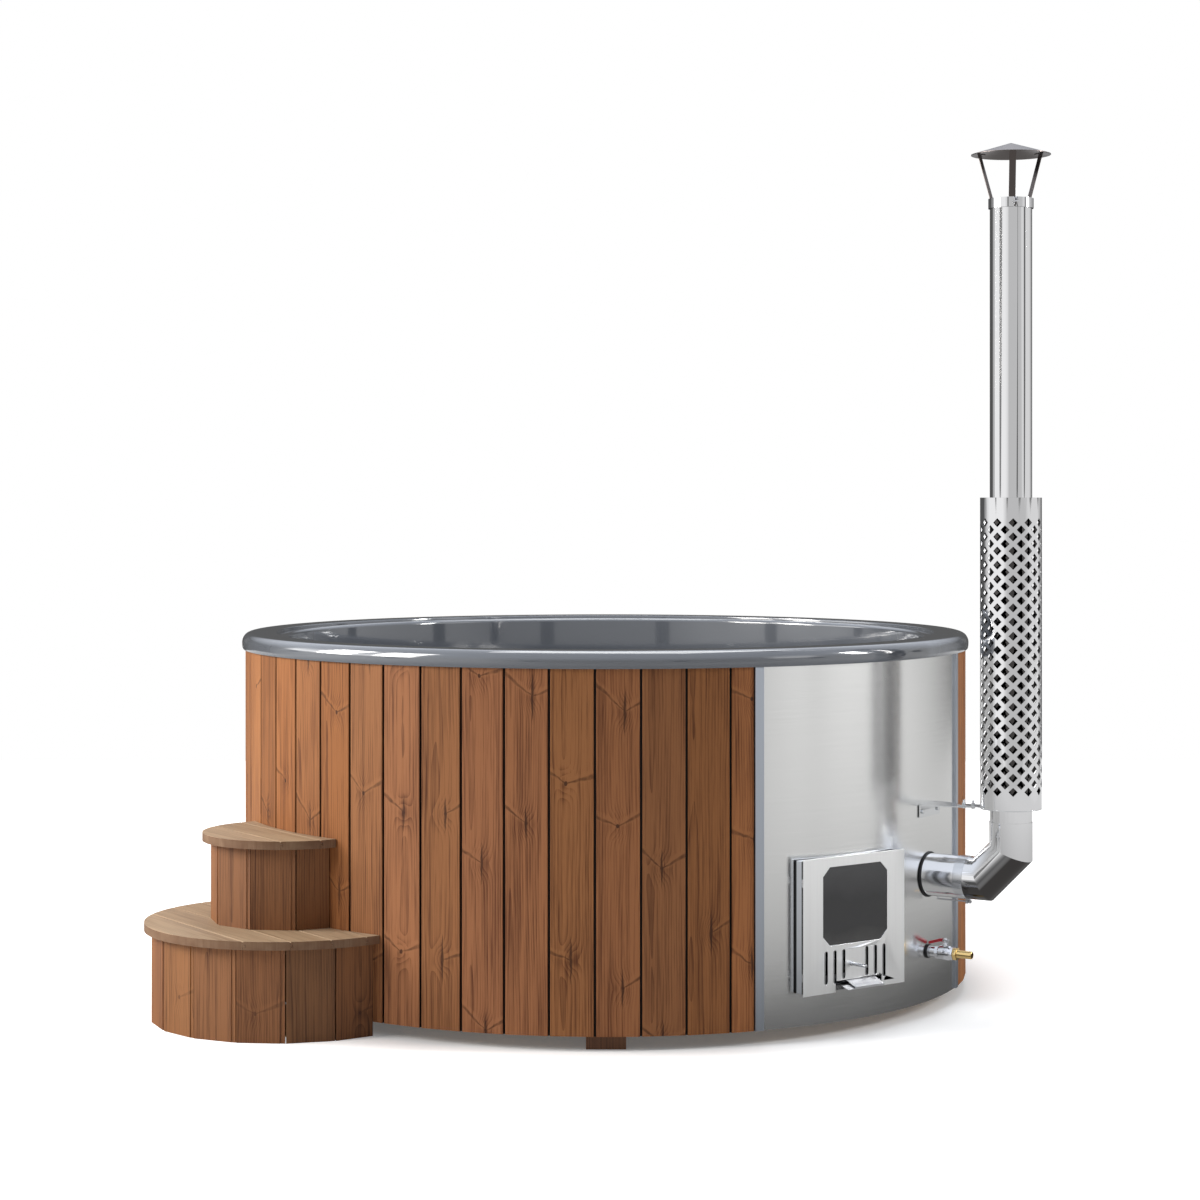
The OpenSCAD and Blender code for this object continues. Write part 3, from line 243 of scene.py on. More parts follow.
# Mirrors that look steeply down on the paper see it evenly grey.
steep_grey = (0.5, 0.5, 0.5)
facing = put(tree, "ShaderNodeLayerWeight", {0: 0.5}).outputs["Facing"]
mirrored = blend(tree, between(tree, facing, 0.35, 0.62, 1.0, 0.0), mirrored, steep_grey)
mirror = put(tree, "ShaderNodeEmission", {0: mirrored, 1: 1.0})
put(tree, "ShaderNodeOutputMaterial", {0: put(tree, "ShaderNodeMixShader", {
    0: ray.outputs["Is Glossy Ray"], 1: lit.outputs[0], 2: mirror.outputs[0]}).outputs[0]})
sheet = bmesh.new()
bmesh.ops.create_grid(sheet, x_segments=1, y_segments=1, size=paper_half)
floor = bpy.data.objects.new("floor", bpy.data.meshes.new("floor"))
sheet.to_mesh(floor.data)
sheet.free()
floor.data.materials.append(paper)
floor.location.z = -0.0005  # just clear of the runners' undersides
studio.collection.objects.link(floor)


# ---- Ground runners, deck and inner timber ----
# Sawn, impregnated runners carry a round plywood deck. Plywood hoops, packers, posts and bearers
# hold the jacket and the liner. Only the front runner's end shows.


def wood_group():
    """Softwood as it is sawn: nearly straight growth lines, fibres, knots and the marks of branches.

    Across and Along are metres on the board, Board is a number of its own for each board.
    """
    tree = bpy.data.node_groups.new("sawn_softwood", "ShaderNodeTree")
    number, colour = "NodeSocketFloat", "NodeSocketColor"
    for name, kind, value in (
            ("Across", number, 0.0), ("Along", number, 0.0), ("Board", number, 0.0),
            ("Early", colour, (0.3, 0.14, 0.06, 1)), ("Late", colour, (0.1, 0.04, 0.02, 1)),
            ("Ring", number, 0.0065), ("Knots", number, 1.0), ("Contrast", number, 0.6)):
        tree.interface.new_socket(name, in_out="INPUT", socket_type=kind).default_value = value
    for name, kind in (("Color", colour), ("Height", number), ("Roughness", number)):
        tree.interface.new_socket(name, in_out="OUTPUT", socket_type=kind)
    given = tree.nodes.new("NodeGroupInput").outputs
    across, along, board = given["Across"], given["Along"], given["Board"]

    def chance(seed):
        """A number from 0 to 1 that stays the same over a board."""
        return put(tree, "ShaderNodeTexWhiteNoise", {"W": calc(tree, "MULTIPLY_ADD", board, 7.31, seed)},
                   noise_dimensions="1D").outputs["Value"]

    def grain(x_scale, y_scale, seed, detail=2.0, rough=0.5):
        """Noise with x_scale and y_scale features to the metre, across and along the board."""
        place = put(tree, "ShaderNodeCombineXYZ", {
            0: calc(tree, "MULTIPLY", across, x_scale), 1: calc(tree, "MULTIPLY", along, y_scale),
            2: calc(tree, "MULTIPLY_ADD", board, 3.7, seed)})
        return put(tree, "ShaderNodeTexNoise", {"Vector": place.outputs[0], "Scale": 1.0, "Detail": detail,
                                                "Roughness": rough}).outputs[0]

    def fade(value, start, end):
        """1 up to start, 0 from end on."""
        return calc(tree, "SUBTRACT", 1.0, between(tree, value, start, end, smooth=True))

    # Branches: one possible place in each stretch of a board, strayed up or down and to a side.
    stretch, stray_up, stray_aside = 0.38, 0.14, 0.034
    counted = calc(tree, "ADD", calc(tree, "DIVIDE", along, stretch), chance(1.0))
    dice = []
    for seed in (3.0, 8.0):
        rolled = put(tree, "ShaderNodeTexWhiteNoise", {"Vector": put(tree, "ShaderNodeCombineXYZ", {
            0: board, 1: calc(tree, "FLOOR", counted), 2: seed}).outputs[0]}, noise_dimensions="3D")
        dice += list(put(tree, "ShaderNodeSeparateColor", {0: rolled.outputs["Color"]}).outputs)[:3]
    up_by, aside_by, has_branch, steepness, which_wing, kind = dice
    wobble = off_middle(tree, grain(38.0, 38.0, 4.0))
    up = calc(tree, "MULTIPLY", off_middle(tree, calc(tree, "FRACT", counted)), stretch)
    up = calc(tree, "SUBTRACT", up, calc(tree, "MULTIPLY", off_middle(tree, up_by), stray_up))
    up = calc(tree, "ADD", up, calc(tree, "MULTIPLY", wobble, 0.010))
    off = calc(tree, "SUBTRACT", across, calc(tree, "MULTIPLY", off_middle(tree, aside_by), stray_aside))
    off = calc(tree, "ADD", off, calc(tree, "MULTIPLY", wobble, 0.005))
    side = calc(tree, "ABSOLUTE", off)
    right = calc(tree, "GREATER_THAN", off, 0.0)
    bare_share = 0.30
    some = calc(tree, "MULTIPLY", calc(tree, "GREATER_THAN", has_branch, bare_share), given["Knots"])
    # Two wings rise from the branch to the board's edges, the one often steeper than the other.
    least_slope, more_slope, other_wing = 0.25, 0.75, 0.55
    slope = calc(tree, "ADD", least_slope, calc(tree, "MULTIPLY", more_slope, calc(
        tree, "ABSOLUTE", calc(tree, "SUBTRACT", steepness, calc(tree, "MULTIPLY", right, other_wing)))))
    lift = calc(tree, "SUBTRACT", up, calc(tree, "MULTIPLY", side, slope))
    thick = calc(tree, "MULTIPLY_ADD", side, 0.075, 0.0013)
    wing = fade(calc(tree, "DIVIDE", calc(tree, "ABSOLUTE", lift), thick), 0.35, 1.5)
    # One of the wings is missing on some.
    missing_share = 0.28
    present = calc(tree, "GREATER_THAN", calc(tree, "ABSOLUTE", calc(tree, "SUBTRACT", which_wing, right)),
                   missing_share)
    wing = calc(tree, "MULTIPLY", wing, present)
    broken = calc(tree, "MULTIPLY_ADD", grain(90.0, 30.0, 6.0), 1.3, 0.1, clamp=True)
    wing = calc(tree, "MULTIPLY", wing, broken)
    # A pale halo lies over each wing.
    halo_up = 0.004
    halo = fade(calc(tree, "ABSOLUTE", calc(tree, "SUBTRACT", lift, halo_up)), 0.003, 0.016)
    halo = calc(tree, "MULTIPLY", halo, present)
    patches = calc(tree, "MULTIPLY", calc(tree, "SUBTRACT", grain(260.0, 60.0, 9.0), 0.25), 2.0, clamp=True)
    halo = calc(tree, "MULTIPLY", halo, patches)
    # A dark check runs along the grain through some, and a small round knot sits in others.
    check_wide, check_above, knot_below = 0.0042, 0.42, 0.60
    half_long = calc(tree, "MULTIPLY_ADD", kind, 0.050, 0.022)
    along_check = calc(tree, "DIVIDE", calc(tree, "ABSOLUTE", up), half_long)
    taper = calc(tree, "SUBTRACT", 1.0, along_check, clamp=True)
    split = fade(calc(tree, "DIVIDE", side, calc(tree, "MULTIPLY_ADD", taper, check_wide, 0.00001)), 0.4, 1.3)
    split = calc(tree, "MULTIPLY", split, calc(tree, "GREATER_THAN", kind, check_above))
    split = calc(tree, "MULTIPLY", split, calc(tree, "GREATER_THAN", taper, 0.001))
    reach = length_of(tree, side, calc(tree, "MULTIPLY", up, 0.75))
    core = calc(tree, "MULTIPLY", fade(reach, 0.0030, 0.0052), calc(tree, "LESS_THAN", kind, knot_below))
    bulge_reach = 0.024
    bulge = calc(tree, "MULTIPLY", some, calc(tree, "POWER", 2.718, calc(tree, "MULTIPLY", calc(
        tree, "POWER", calc(tree, "DIVIDE", reach, bulge_reach), 2.0), -1.0)))

    # Growth rings round a heart well behind the board, which drifts a little along it.
    heart_strays, least_deep, more_deep, drift = 0.15, 0.008, 0.030, 0.045
    bend = off_middle(tree, grain(7.0, 1.5, 11.0))
    heart = calc(tree, "MULTIPLY", off_middle(tree, chance(2.0)), heart_strays)
    aside = calc(tree, "ADD", calc(tree, "SUBTRACT", across, heart), calc(tree, "MULTIPLY", bend, 0.022))
    deep = calc(tree, "ADD", calc(tree, "MULTIPLY_ADD", chance(5.0), more_deep, least_deep),
                calc(tree, "MULTIPLY", off_middle(tree, grain(0.0, 0.8, 23.0, 1.0)), drift))
    turn = calc(tree, "DIVIDE", length_of(tree, aside, deep), given["Ring"])
    turn = calc(tree, "ADD", turn, calc(tree, "MULTIPLY", bulge, 3.0))
    turn = calc(tree, "ADD", turn, calc(tree, "MULTIPLY", grain(30.0, 6.0, 31.0), 0.6))
    late = calc(tree, "POWER", calc(tree, "FRACT", turn), 1.8)
    fibre = grain(340.0, 7.0, 41.0, 3.0, 0.65)
    streak = grain(95.0, 2.2, 47.0, 2.0)
    cloud = grain(13.0, 2.0, 53.0, 3.0)

    # tone runs from 0, the pale early wood, to 1, the dark late wood.
    tone = calc(tree, "MULTIPLY", late, given["Contrast"])
    for strength, streaks in ((1.7, fibre), (1.5, streak), (1.1, cloud)):
        tone = calc(tree, "ADD", tone, calc(tree, "MULTIPLY", off_middle(tree, streaks), strength))
    # Thin resin streaks, a few on each board.
    resin = between(tree, grain(150.0, 3.5, 61.0, 1.0), 0.62, 0.76)
    tone = calc(tree, "ADD", tone, calc(tree, "MULTIPLY", resin, 0.40))
    tone = calc(tree, "ADD", tone, calc(tree, "MULTIPLY", bulge, 0.22))
    paler = calc(tree, "MULTIPLY", calc(tree, "MULTIPLY", halo, some), 0.65)
    tone = calc(tree, "SUBTRACT", tone, paler, clamp=True)
    own = put(tree, "ShaderNodeHueSaturation", {
        "Hue": calc(tree, "MULTIPLY_ADD", chance(9.0), 0.005, 0.5005),
        "Saturation": calc(tree, "MULTIPLY_ADD", chance(13.0), 0.06, 0.97),
        "Value": calc(tree, "MULTIPLY_ADD", chance(17.0), 0.28, 0.84),
        "Color": blend(tree, tone, given["Early"], given["Late"])}).outputs[0]
    branch_dark = (0.034, 0.013, 0.007)
    marks = calc(tree, "MAXIMUM", calc(tree, "MULTIPLY", wing, 0.70), calc(tree, "MULTIPLY", split, 0.80))
    marks = calc(tree, "MAXIMUM", marks, calc(tree, "MULTIPLY", core, 0.85))
    coloured = blend(tree, calc(tree, "MULTIPLY", marks, some), own, branch_dark)
    height = calc(tree, "SUBTRACT", calc(tree, "MULTIPLY", fibre, 0.4), calc(tree, "MULTIPLY", late, 0.5))
    put(tree, "NodeGroupOutput", {0: coloured, 1: height, 2: calc(tree, "MULTIPLY_ADD", tone, -0.10, 0.62)})
    return tree


sawn_softwood = wood_group()


def wood(name, early, late, places, ring=0.0065, knots=1.0, contrast=0.5, gloss=0.3, shade=None,
         dark=(0.010, 0.005, 0.003)):
    """A board finish. places turns object coordinates into across, along and board.

    shade gives how far each point goes towards dark, from 0 to 1, as painted shade on the jacket and as darker
    edges on the treads.
    """
    made, tree = material(name)
    where = xyz(tree)
    across, along, board = places(tree, where)
    look = put(tree, "ShaderNodeGroup", node_tree=sawn_softwood)
    for key, value in (("Across", across), ("Along", along), ("Board", board)):
        tree.links.new(value, look.inputs[key])
    for key, value in (("Early", (*early, 1)), ("Late", (*late, 1)), ("Ring", ring), ("Knots", knots),
                       ("Contrast", contrast)):
        look.inputs[key].default_value = value
    colour = look.outputs["Color"]
    if shade:
        colour = blend(tree, shade(tree, where), colour, dark)
    surface_of(tree, {
        "Base Color": colour, "Roughness": look.outputs["Roughness"], "Specular IOR Level": gloss,
        "Normal": bump(tree, 0.35, 0.0006, look.outputs["Height"])})
    return made


def finish(finish_material, *names):
    """Gives CAD nodes their finish."""
    for name in names:
        nodes[name].data.materials.clear()
        nodes[name].data.materials.append(finish_material)


def every(tree, value, step):
    """A number of its own for each step along value."""
    return calc(tree, "ROUND", calc(tree, "DIVIDE", value, step))


runner_apart, veneer = 0.45, 0.003
runner_timber = wood("runner_timber", (0.185, 0.085, 0.046), (0.095, 0.042, 0.024),
                     lambda tree, at: (at[0], at[1], every(tree, at[0], runner_apart)), knots=0.0)
finish(runner_timber, "runner_middle", "runners_side")
plywood = wood("plywood", (0.52, 0.36, 0.21), (0.36, 0.23, 0.12),
               lambda tree, at: (at[2], at[0], every(tree, at[2], veneer)),
               ring=0.02, knots=0.0, contrast=0.3)
finish(plywood, "base_deck", "liner_supports", "hoop_lower", "hoop_middle", "hoop_upper", "panel_ribs",
       "step_formers")


# ---- Jacket boards ----
# Heat-treated softwood boards with a tongue and a groove stand upright round the tub, screwed to
# the hoops. Each was sawn from another log, so its grain, knots and tone are its own.

board_count, tub_r = 56, 1.0
board_turn = 2 * math.pi / board_count
first_joint = math.radians(-7.97)
jacket_face = tub_r * math.cos(board_turn / 2)
first_number = 40.0


def on_board(tree, at):
    """A point's angle from its board's middle, and how many boards round it lies."""
    boards_round = calc(tree, "DIVIDE", calc(tree, "SUBTRACT", bearing_of(tree, at[0], at[1]), first_joint),
                        board_turn)
    turned = calc(tree, "MULTIPLY", off_middle(tree, calc(tree, "FRACT", boards_round)), board_turn)
    return turned, boards_round


def jacket_places(tree, at):
    turned, boards_round = on_board(tree, at)
    return turned, at[2], calc(tree, "ADD", calc(tree, "FLOOR", boards_round), first_number)


def jacket_shade(tree, at):
    """Painted shade darkens the tongues and the gaps between the boards, and the top under the rim."""
    turned, _ = on_board(tree, at)
    out = calc(tree, "MULTIPLY", length_of(tree, at[0], at[1]), calc(tree, "COSINE", turned))
    deep = between(tree, calc(tree, "SUBTRACT", jacket_face, out), 0.0006, 0.0035)
    under_rim = between(tree, at[2], 0.935, 0.950, 0.0, 0.45)
    return calc(tree, "MAXIMUM", deep, under_rim)


jacket_board = wood("jacket_board", (0.362, 0.142, 0.056), (0.114, 0.035, 0.0135), jacket_places, gloss=0.2,
                    shade=jacket_shade)
finish(jacket_board, "jacket_right", "jacket_back", "jacket_left", "jacket_front")


# ---- Steel section ----
# A brushed stainless sheet is rolled to the jacket's curve and held at its edges by two folded
# channels. The brush marks run round the tub.


def brush_group():
    """Fine parallel scratches. Along runs with the brush, Across over it, both in metres."""
    tree = bpy.data.node_groups.new("brushed_sheet", "ShaderNodeTree")
    for name, value in (("Along", 0.0), ("Across", 0.0), ("Roughness", 0.3), ("Spread", 0.08)):
        tree.interface.new_socket(name, in_out="INPUT", socket_type="NodeSocketFloat").default_value = value
    for name in ("Tone", "Roughness", "Height"):
        tree.interface.new_socket(name, in_out="OUTPUT", socket_type="NodeSocketFloat")
    given = tree.nodes.new("NodeGroupInput").outputs

    def scratches(along_scale, across_scale, detail):
        stretched = put(tree, "ShaderNodeCombineXYZ", {
            0: calc(tree, "MULTIPLY", given["Along"], along_scale),
            1: calc(tree, "MULTIPLY", given["Across"], across_scale)}).outputs[0]
        return put(tree, "ShaderNodeTexNoise", {"Vector": stretched, "Scale": 1.0, "Detail": detail}).outputs[0]

    fine, broad = scratches(12.0, 1600.0, 3.0), scratches(2.0, 160.0, 2.0)
    both = calc(tree, "ADD", calc(tree, "MULTIPLY", fine, 0.6), calc(tree, "MULTIPLY", broad, 0.4))
    roughness = calc(tree, "MULTIPLY_ADD", off_middle(tree, both), given["Spread"], given["Roughness"])
    put(tree, "NodeGroupOutput", {0: calc(tree, "MULTIPLY_ADD", both, 0.16, 0.92), 1: roughness, 2: fine})
    return tree


brushed_sheet = brush_group()
# Black for painted shade in shadowed joints.
shade_black = (0.012, 0.012, 0.012)


def brushed(name, colour, roughness, along, across, spread=0.12, anisotropy=0.0, turn=0.0, shade=None):
    """Brushed metal. along and across say which way the brush ran: "round", "x", "y" or "z".

    shade gives how far each point goes towards black, a painted shade in shadowed joints, from 0 to 1.
    """
    made, tree = material(name)
    where = xyz(tree)

    def axis(way):
        return bearing_of(tree, where[0], where[1]) if way == "round" else where["xyz".index(way)]

    look = put(tree, "ShaderNodeGroup", node_tree=brushed_sheet)
    tree.links.new(axis(along), look.inputs["Along"])
    tree.links.new(axis(across), look.inputs["Across"])
    look.inputs["Roughness"].default_value = roughness
    look.inputs["Spread"].default_value = spread
    tint = blend(tree, 1.0, colour, look.outputs["Tone"], kind="MULTIPLY")
    if shade:
        tint = blend(tree, shade(tree, where), tint, shade_black)
    surface = surface_of(tree, {
        "Base Color": tint, "Metallic": 1.0, "Roughness": look.outputs["Roughness"],
        "Normal": bump(tree, 0.10, 0.0002, look.outputs["Height"]), "Anisotropic": anisotropy})
    if anisotropy:
        surface.inputs["Anisotropic Rotation"].default_value = turn
        tree.links.new(put(tree, "ShaderNodeTangent", direction_type="RADIAL", axis="Z").outputs[0],
                       surface.inputs["Tangent"])
    return made


def sheet_piece(name, finish_material, body="tub", crease=32.0, edge=0.0):
    """A smooth-shaded copy of a CAD node, with its edges eased, in the node's place.

    Edges sharper than crease, in degrees, stay sharp, and edge is the width of their easing in metres.
    """
    cast = bmesh.new()
    cast.from_mesh(nodes[name].data)
    bmesh.ops.remove_doubles(cast, verts=cast.verts, dist=0.00001)
    piece = bpy.data.objects.new(name + "_piece", bpy.data.meshes.new(name + "_piece"))
    cast.to_mesh(piece.data)
    cast.free()
    studio.collection.objects.link(piece)
    piece.data.shade_smooth()
    piece.data.set_sharp_from_angle(angle=math.radians(crease))
    piece.data.materials.append(finish_material)
    if edge:
        eased = piece.modifiers.new("eased_edges", "BEVEL")
        eased.width = edge
        eased.segments = 2
        eased.limit_method = "ANGLE"
        eased.angle_limit = math.radians(crease)
        eased.harden_normals = True
    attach(piece, body)
    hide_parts(name)
    return piece


def roll_smooth(piece):
    """Shades a sheet rolled round the tub by its true form, whatever triangles its openings make."""
    rolled_face = 0.95
    mesh = piece.data
    shading = []
    for face in mesh.polygons:
        for corner in face.loop_indices:
            point = mesh.vertices[mesh.loops[corner].vertex_index].co
            out = Vector((point.x, point.y, 0)).normalized()
            facing = face.normal.dot(out)
            shading.append(out * math.copysign(1, facing) if abs(facing) > rolled_face else face.normal)
    mesh.normals_split_custom_set(shading)


panel_sheet = brushed("panel_sheet", (0.82, 0.82, 0.81), 0.21, "round", "z", anisotropy=0.5, turn=0.25)
roll_smooth(sheet_piece("steel_panel", panel_sheet))
trim_sheet = brushed("trim_sheet", (0.46, 0.49, 0.54), 0.38, "z", "round")
sheet_piece("steel_trims", trim_sheet, edge=0.0012)


# ---- Liner ----
# One grey acrylic moulding makes the rim, the wall, the bench and the footwell. It is glossy, and
# its rim is rounded and rolled down over the jacket.

acrylic, tree = material("grey_acrylic")
paler_grey, darker_grey = (0.130, 0.142, 0.164), (0.114, 0.126, 0.146)
surface_of(tree, {
    "Base Color": blend(tree, speckle(tree, 3.0), darker_grey, paler_grey), "Roughness": 0.10,
    "Coat Weight": 1.0, "Coat Roughness": 0.03, "Specular IOR Level": 0.8,
    "Normal": bump(tree, 0.04, 0.001, speckle(tree, 60.0, 1.0))})
liner_shell = sheet_piece("liner", acrylic, crease=50.0)
# A crease parts the level floor and bench from their rounded edges, so that they mirror as flats.
upright = 0.999
form = bmesh.new()
form.from_mesh(liner_shell.data)
for edge in form.edges:
    level = [abs(face.normal.z) > upright for face in edge.link_faces]
    if any(level) and not all(level):
        edge.smooth = False
form.to_mesh(liner_shell.data)
form.free()


# ---- Floor waste ----
# A slotted strainer is screwed to a plastic waste body under the footwell, with a steel pipe to
# the panel and a rubber seal where the pipe comes out.

mill_steel = brushed("mill_steel", (0.60, 0.61, 0.62), 0.34, "x", "z")
finish(mill_steel, "drain_strainer", "drain_pipe")
moulded, tree = material("waste_plastic")
surface_of(tree, {"Base Color": (0.07, 0.07, 0.075, 1),
                  "Roughness": calc(tree, "MULTIPLY_ADD", speckle(tree, 300.0), 0.2, 0.4)})
finish(moulded, "drain_waste")
seal_rubber, tree = material("seal_rubber")
surface_of(tree, {"Base Color": (0.010, 0.010, 0.011, 1),
                  "Roughness": calc(tree, "MULTIPLY_ADD", speckle(tree, 900.0), 0.3, 0.45)})
sheet_piece("drain_gasket", seal_rubber, edge=0.0006)


# ---- Stove body ----
# The firebox is welded from steel sheet inside a water jacket. Its collar comes out through the
# panel. The grate is cast, and two pipes with barred covers lead to the footwell.

fire_black, tree = material("fire_black")
soot = ramp(tree, speckle(tree, 14.0, 4.0), (0.3, (0.012, 0.011, 0.010)), (0.8, (0.045, 0.042, 0.040)))
surface_of(tree, {"Base Color": soot, "Roughness": 0.7})
finish(fire_black, "firebox", "smoke_duct", "glass_frame")
cast_iron, tree = material("cast_iron")
surface_of(tree, {"Base Color": (0.025, 0.024, 0.024, 1), "Roughness": 0.65,
                  "Normal": bump(tree, 0.3, 0.0005, speckle(tree, 400.0, 3.0))})
finish(cast_iron, "fire_grate")
finish(mill_steel, "water_jacket", "water_pipes", "water_grilles")
door_turn = math.radians(37.4)


def out_of_door(tree, at):
    """How far out a point lies, measured from the tub's axis square to the shut door."""
    return calc(tree, "SUBTRACT", calc(tree, "MULTIPLY", at[0], math.sin(door_turn)),
                calc(tree, "MULTIPLY", at[1], math.cos(door_turn)))


def frame_shade(tree, at):
    """Painted shade darkens the collar where it meets the panel and along its lip."""
    out = out_of_door(tree, at)
    at_panel = between(tree, out, 0.9895, 0.9920, 1.0, 0.0)
    at_lip = between(tree, out, 1.0085, 1.0105)
    return calc(tree, "MULTIPLY", calc(tree, "MAXIMUM", at_panel, at_lip), 0.96)


frame_sheet = brushed("frame_sheet", (0.84, 0.87, 0.92), 0.34, "z", "x", shade=frame_shade)
sheet_piece("door_frame", frame_sheet, edge=0.0008)


# ---- Stove door ----
# A plate of brushed stainless with cut corners in its window, dark stove glass behind it, a rope
# seal, a pin for a handle, and two pinned hinges on its left edge.

door_sheet = brushed("door_sheet", (0.94, 0.94, 0.93), 0.42, "z", "x", spread=0.10)
sheet_piece("door_plate", door_sheet, body="door", edge=0.0005)
stove_glass, tree = material("stove_glass")
haze = speckle(tree, 9.0, 3.0)
# A painted reflection makes the glass paler along its lower edge, with a ragged limit, and a little paler at
# its top than in its dark middle.
glass_foot, glass_top, ragged = 0.25, 0.45, 0.06
height = calc(tree, "MULTIPLY_ADD", haze, ragged, xyz(tree)[2])
painted_reflection = ramp(tree, between(tree, height, glass_foot, glass_top),
           (0.0, (0.085, 0.083, 0.080)), (0.22, (0.040, 0.040, 0.040)), (0.6, (0.034, 0.034, 0.035)),
           (1.0, (0.062, 0.062, 0.064)))
surface_of(tree, {"Base Color": painted_reflection, "Roughness": calc(tree, "MULTIPLY_ADD", haze, 0.10, 0.10),
                  "Specular IOR Level": 0.6})
finish(stove_glass, "door_glass")
rope, tree = material("seal_rope")
twist = put(tree, "ShaderNodeTexWave", {
    "Vector": put(tree, "ShaderNodeTexCoord").outputs["Object"], "Scale": 60.0, "Distortion": 1.0},
    bands_direction="DIAGONAL")
surface_of(tree, {"Base Color": ramp(tree, twist.outputs[0], (0.0, 0.05), (1.0, 0.12)), "Roughness": 0.9,
                  "Normal": bump(tree, 0.5, 0.001, twist.outputs[0])})
finish(rope, "door_seal")
small_steel = brushed("small_steel", (0.66, 0.67, 0.69), 0.22, "x", "z", spread=0.06)
sheet_piece("door_handle", small_steel, body="door", edge=0.0006)
finish(small_steel, "slider_guides")
sheet_piece("hinge_door", small_steel, body="door")
sheet_piece("hinge_frame", small_steel)
sheet_piece("hinge_pins", small_steel, edge=0.0004)


# ---- Air slider ----
# A slotted plate slides behind the door's slots. Its lower edge is folded out as a grip.

slider_sheet, tree = material("slider_sheet")
# The plate behind the door is dull and painted darker in mottled patches as shade, and the grip in front of it
# is paler.
door_front, grip_grey = 1.0205, (0.50, 0.50, 0.51)
in_front = calc(tree, "GREATER_THAN", out_of_door(tree, xyz(tree)), door_front)
shaded_plate = ramp(tree, speckle(tree, 30.0, 3.0), (0.3, 0.26), (0.7, 0.40))
surface_of(tree, {"Base Color": blend(tree, in_front, shaded_plate, grip_grey), "Metallic": 1.0,
                  "Roughness": calc(tree, "MULTIPLY_ADD", in_front, -0.10, 0.60)})
sheet_piece("air_slider", slider_sheet, body="slider", edge=0.0004)


# ---- Flue ----
# Polished stainless pipe: an outlet with a rubber seal at the panel, a mitred elbow clamped over
# it, and the chimney pipe.


def polished(name, colour, roughness, dimmed=None):
    """Polished sheet with faint smears. The last argument says how far each point goes towards a dark tint,
    from 0 to 1.
    """
    made, tree = material(name)
    tint = blend(tree, dimmed(tree), colour, dark_tint) if dimmed else (*colour, 1)
    surface_of(tree, {"Base Color": tint, "Metallic": 1.0,
                      "Roughness": calc(tree, "MULTIPLY_ADD", speckle(tree, 7.0, 4.0), 0.03, roughness)})
    return made


def shaded_below(tree):
    """Painted shade darkens the elbow's undersides."""
    return between(tree, upward(tree, "Normal"), -0.32, -0.08, 1.0, 0.0)


guard_foot, guard_top = 0.551, 1.342


def dark_in_guard(tree):
    """The pipe is darker where the guard encloses it."""
    up = xyz(tree)[2]
    return calc(tree, "MULTIPLY", calc(tree, "GREATER_THAN", up, guard_foot),
                calc(tree, "LESS_THAN", up, guard_top))


# The dark tint is painted shade on the elbow's undersides, and a darker colour in the guard.
flue_colour, dark_tint = (0.80, 0.80, 0.81), (0.085, 0.080, 0.078)
stub_polish = polished("stub_polish", flue_colour, 0.12)
flue_shaded_below = polished("flue_shaded_below", flue_colour, 0.015, dimmed=shaded_below)
pipe_polish = polished("pipe_polish", flue_colour, 0.015, dimmed=dark_in_guard)
for name, polish in (("flue_stub", stub_polish), ("flue_elbow", flue_shaded_below), ("chimney_pipe", pipe_polish)):
    sheet_piece(name, polish, crease=12.0)
sheet_piece("flue_gasket", seal_rubber, edge=0.001)
sheet_piece("elbow_clamp", small_steel, edge=0.0003)


# ---- Heat guard and bracket ----
# A sleeve of perforated stainless keeps hands off the hot pipe. It stands on a ring plate, which
# an angle bracket carries from the panel.

pipe_at = (1.0337, -0.6611)
guard_mid_r = 0.0774


def guard_inside(tree):
    """The guard's inner face is darker, as the pipe in it is."""
    at = xyz(tree)
    out = [calc(tree, "SUBTRACT", at[i], pipe_at[i]) for i in (0, 1)]
    return calc(tree, "LESS_THAN", length_of(tree, *out), guard_mid_r)


sheet_piece("heat_guard", polished("guard_polish", flue_colour, 0.02, dimmed=guard_inside))
bright_plate = brushed("bright_plate", (0.76, 0.77, 0.78), 0.20, "x", "y", spread=0.05)
for name in ("guard_ring", "support_bracket", "bracket_bolts"):
    sheet_piece(name, bright_plate, edge=0.0003)
sheet_piece("guard_spacer", bright_plate)


# ---- Rain cap ----
# A split collar clamps three straps to the pipe. They carry a shallow cone of dark sheet.

sheet_piece("cap_collar", pipe_polish, edge=0.0003)
cap_sheet = brushed("cap_sheet", (0.115, 0.098, 0.092), 0.30, "round", "z")
sheet_piece("cap_legs", cap_sheet, edge=0.0003)
sheet_piece("cap_cone", cap_sheet)


# ---- Drain valve ----
# A plated ball valve with a sheet lever in a red sleeve, and a turned brass hose tail.

plated = polished("plated_brass", (0.66, 0.67, 0.70), 0.10)
for name, body in (("valve_body", "tub"), ("valve_ball", "lever"), ("valve_stem", "lever")):
    sheet_piece(name, plated, body=body, edge=0.0004)
sheet_piece("valve_lever", small_steel, body="lever", edge=0.0004)
sleeve, tree = material("red_sleeve")
dip = ramp(tree, speckle(tree, 120.0), (0.3, (0.46, 0.012, 0.025)), (0.7, (0.55, 0.020, 0.035)))
surface_of(tree, {"Base Color": dip, "Roughness": 0.38})
sheet_piece("lever_grip", sleeve, body="lever", edge=0.0012)
turned_brass = brushed("turned_brass", (0.78, 0.56, 0.24), 0.20, "round", "x", spread=0.05)
sheet_piece("hose_tail", turned_brass, edge=0.0005)


# ---- Steps ----
# Two half-round treads of tongued boards on fronts of narrow upright boards, which are screwed to
# plywood half discs. The treads have weathered paler than the fronts.

steps_turn = math.radians(-55.8)
steps_out = 0.990
steps_middle = (steps_out * math.sin(steps_turn), -steps_out * math.cos(steps_turn))


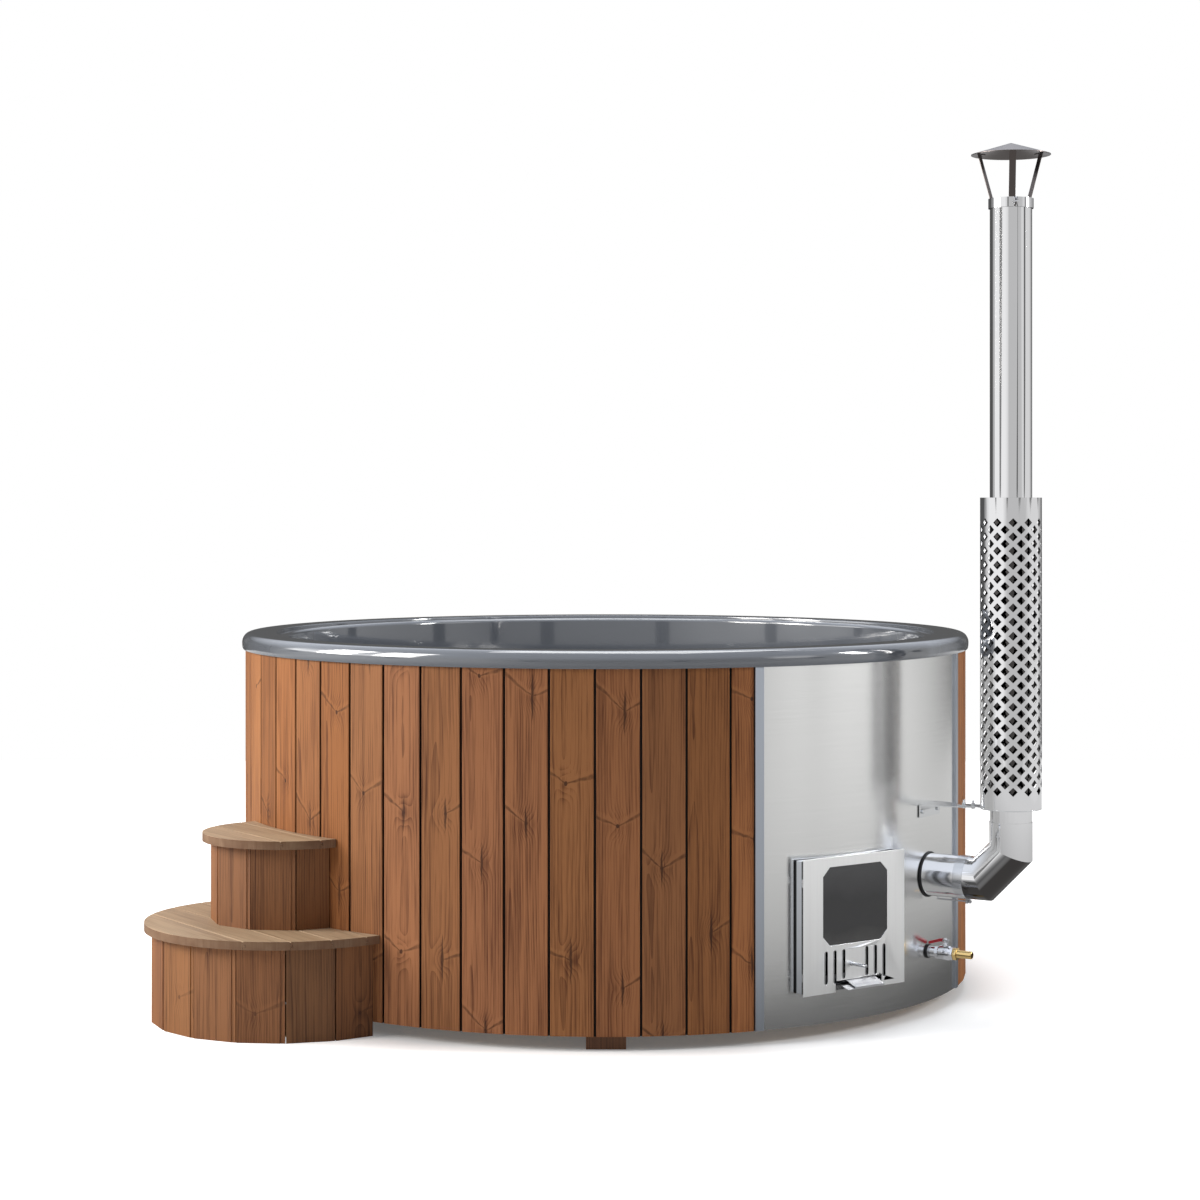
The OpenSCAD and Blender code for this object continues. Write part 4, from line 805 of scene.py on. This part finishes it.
def front_places(count, turn, front_r):
    """count boards, each turned by turn degrees from the last, stand on a front of radius front_r."""
    width = 2 * front_r * math.sin(math.radians(turn) / 2)

    def places(tree, at):
        x, y = (calc(tree, "SUBTRACT", at[i], steps_middle[i]) for i in (0, 1))
        turned = calc(tree, "SUBTRACT", bearing_of(tree, x, y), steps_turn)
        # Back into one turn, and then counted in boards from the first one.
        whole_turns = every(tree, turned, 2 * math.pi)
        turned = calc(tree, "SUBTRACT", turned, calc(tree, "MULTIPLY", whole_turns, 2 * math.pi))
        counted = calc(tree, "ADD", calc(tree, "DIVIDE", turned, math.radians(turn)), count / 2)
        across = calc(tree, "MULTIPLY", off_middle(tree, calc(tree, "FRACT", counted)), width)
        return across, at[2], calc(tree, "ADD", calc(tree, "FLOOR", counted), 7.0 * count)
    return places


tread_cover = 0.095


def tread_places(outer_joint):
    """The tread's boards lie square to the way out from the tub. outer_joint is one joint's place."""
    def places(tree, at):
        out = calc(tree, "ADD", calc(tree, "MULTIPLY", at[0], math.sin(steps_turn)),
                   calc(tree, "MULTIPLY", at[1], -math.cos(steps_turn)))
        along = calc(tree, "ADD", calc(tree, "MULTIPLY", at[0], math.cos(steps_turn)),
                     calc(tree, "MULTIPLY", at[1], math.sin(steps_turn)))
        counted = calc(tree, "DIVIDE", calc(tree, "SUBTRACT", out, outer_joint), tread_cover)
        across = calc(tree, "MULTIPLY", off_middle(tree, calc(tree, "FRACT", counted)), tread_cover)
        return across, along, calc(tree, "ADD", calc(tree, "FLOOR", counted), 90.0 + 30 * outer_joint)
    return places


front_early, front_late = (0.265, 0.112, 0.047), (0.085, 0.030, 0.013)
for height, knots, boards in (("lower", 0.6, (10, 20.3, 0.354)), ("upper", 0.0, (6, 33.5, 0.204))):
    front_board = wood(height + "_front_board", front_early, front_late, front_places(*boards), knots=knots)
    finish(front_board, "riser_" + height)
tread_early, tread_late = (0.52, 0.365, 0.235), (0.30, 0.185, 0.110)
tread_edge_dark = (0.150, 0.072, 0.036)


def tread_shade(tree, at):
    """The treads' upright edges are darker than their tops, in patches."""
    level_top = 0.7
    edge = calc(tree, "LESS_THAN", upward(tree, "True Normal"), level_top)
    patchy = calc(tree, "MULTIPLY_ADD", speckle(tree, 22.0, 3.0), 0.5, 0.55, clamp=True)
    return calc(tree, "MULTIPLY", edge, patchy)


for height, joint in (("lower", 1.255), ("upper", 1.113)):
    tread_board = wood(height + "_tread_board", tread_early, tread_late, tread_places(joint),
                       ring=0.007, knots=0.2, shade=tread_shade, dark=tread_edge_dark)
    finish(tread_board, "tread_" + height)
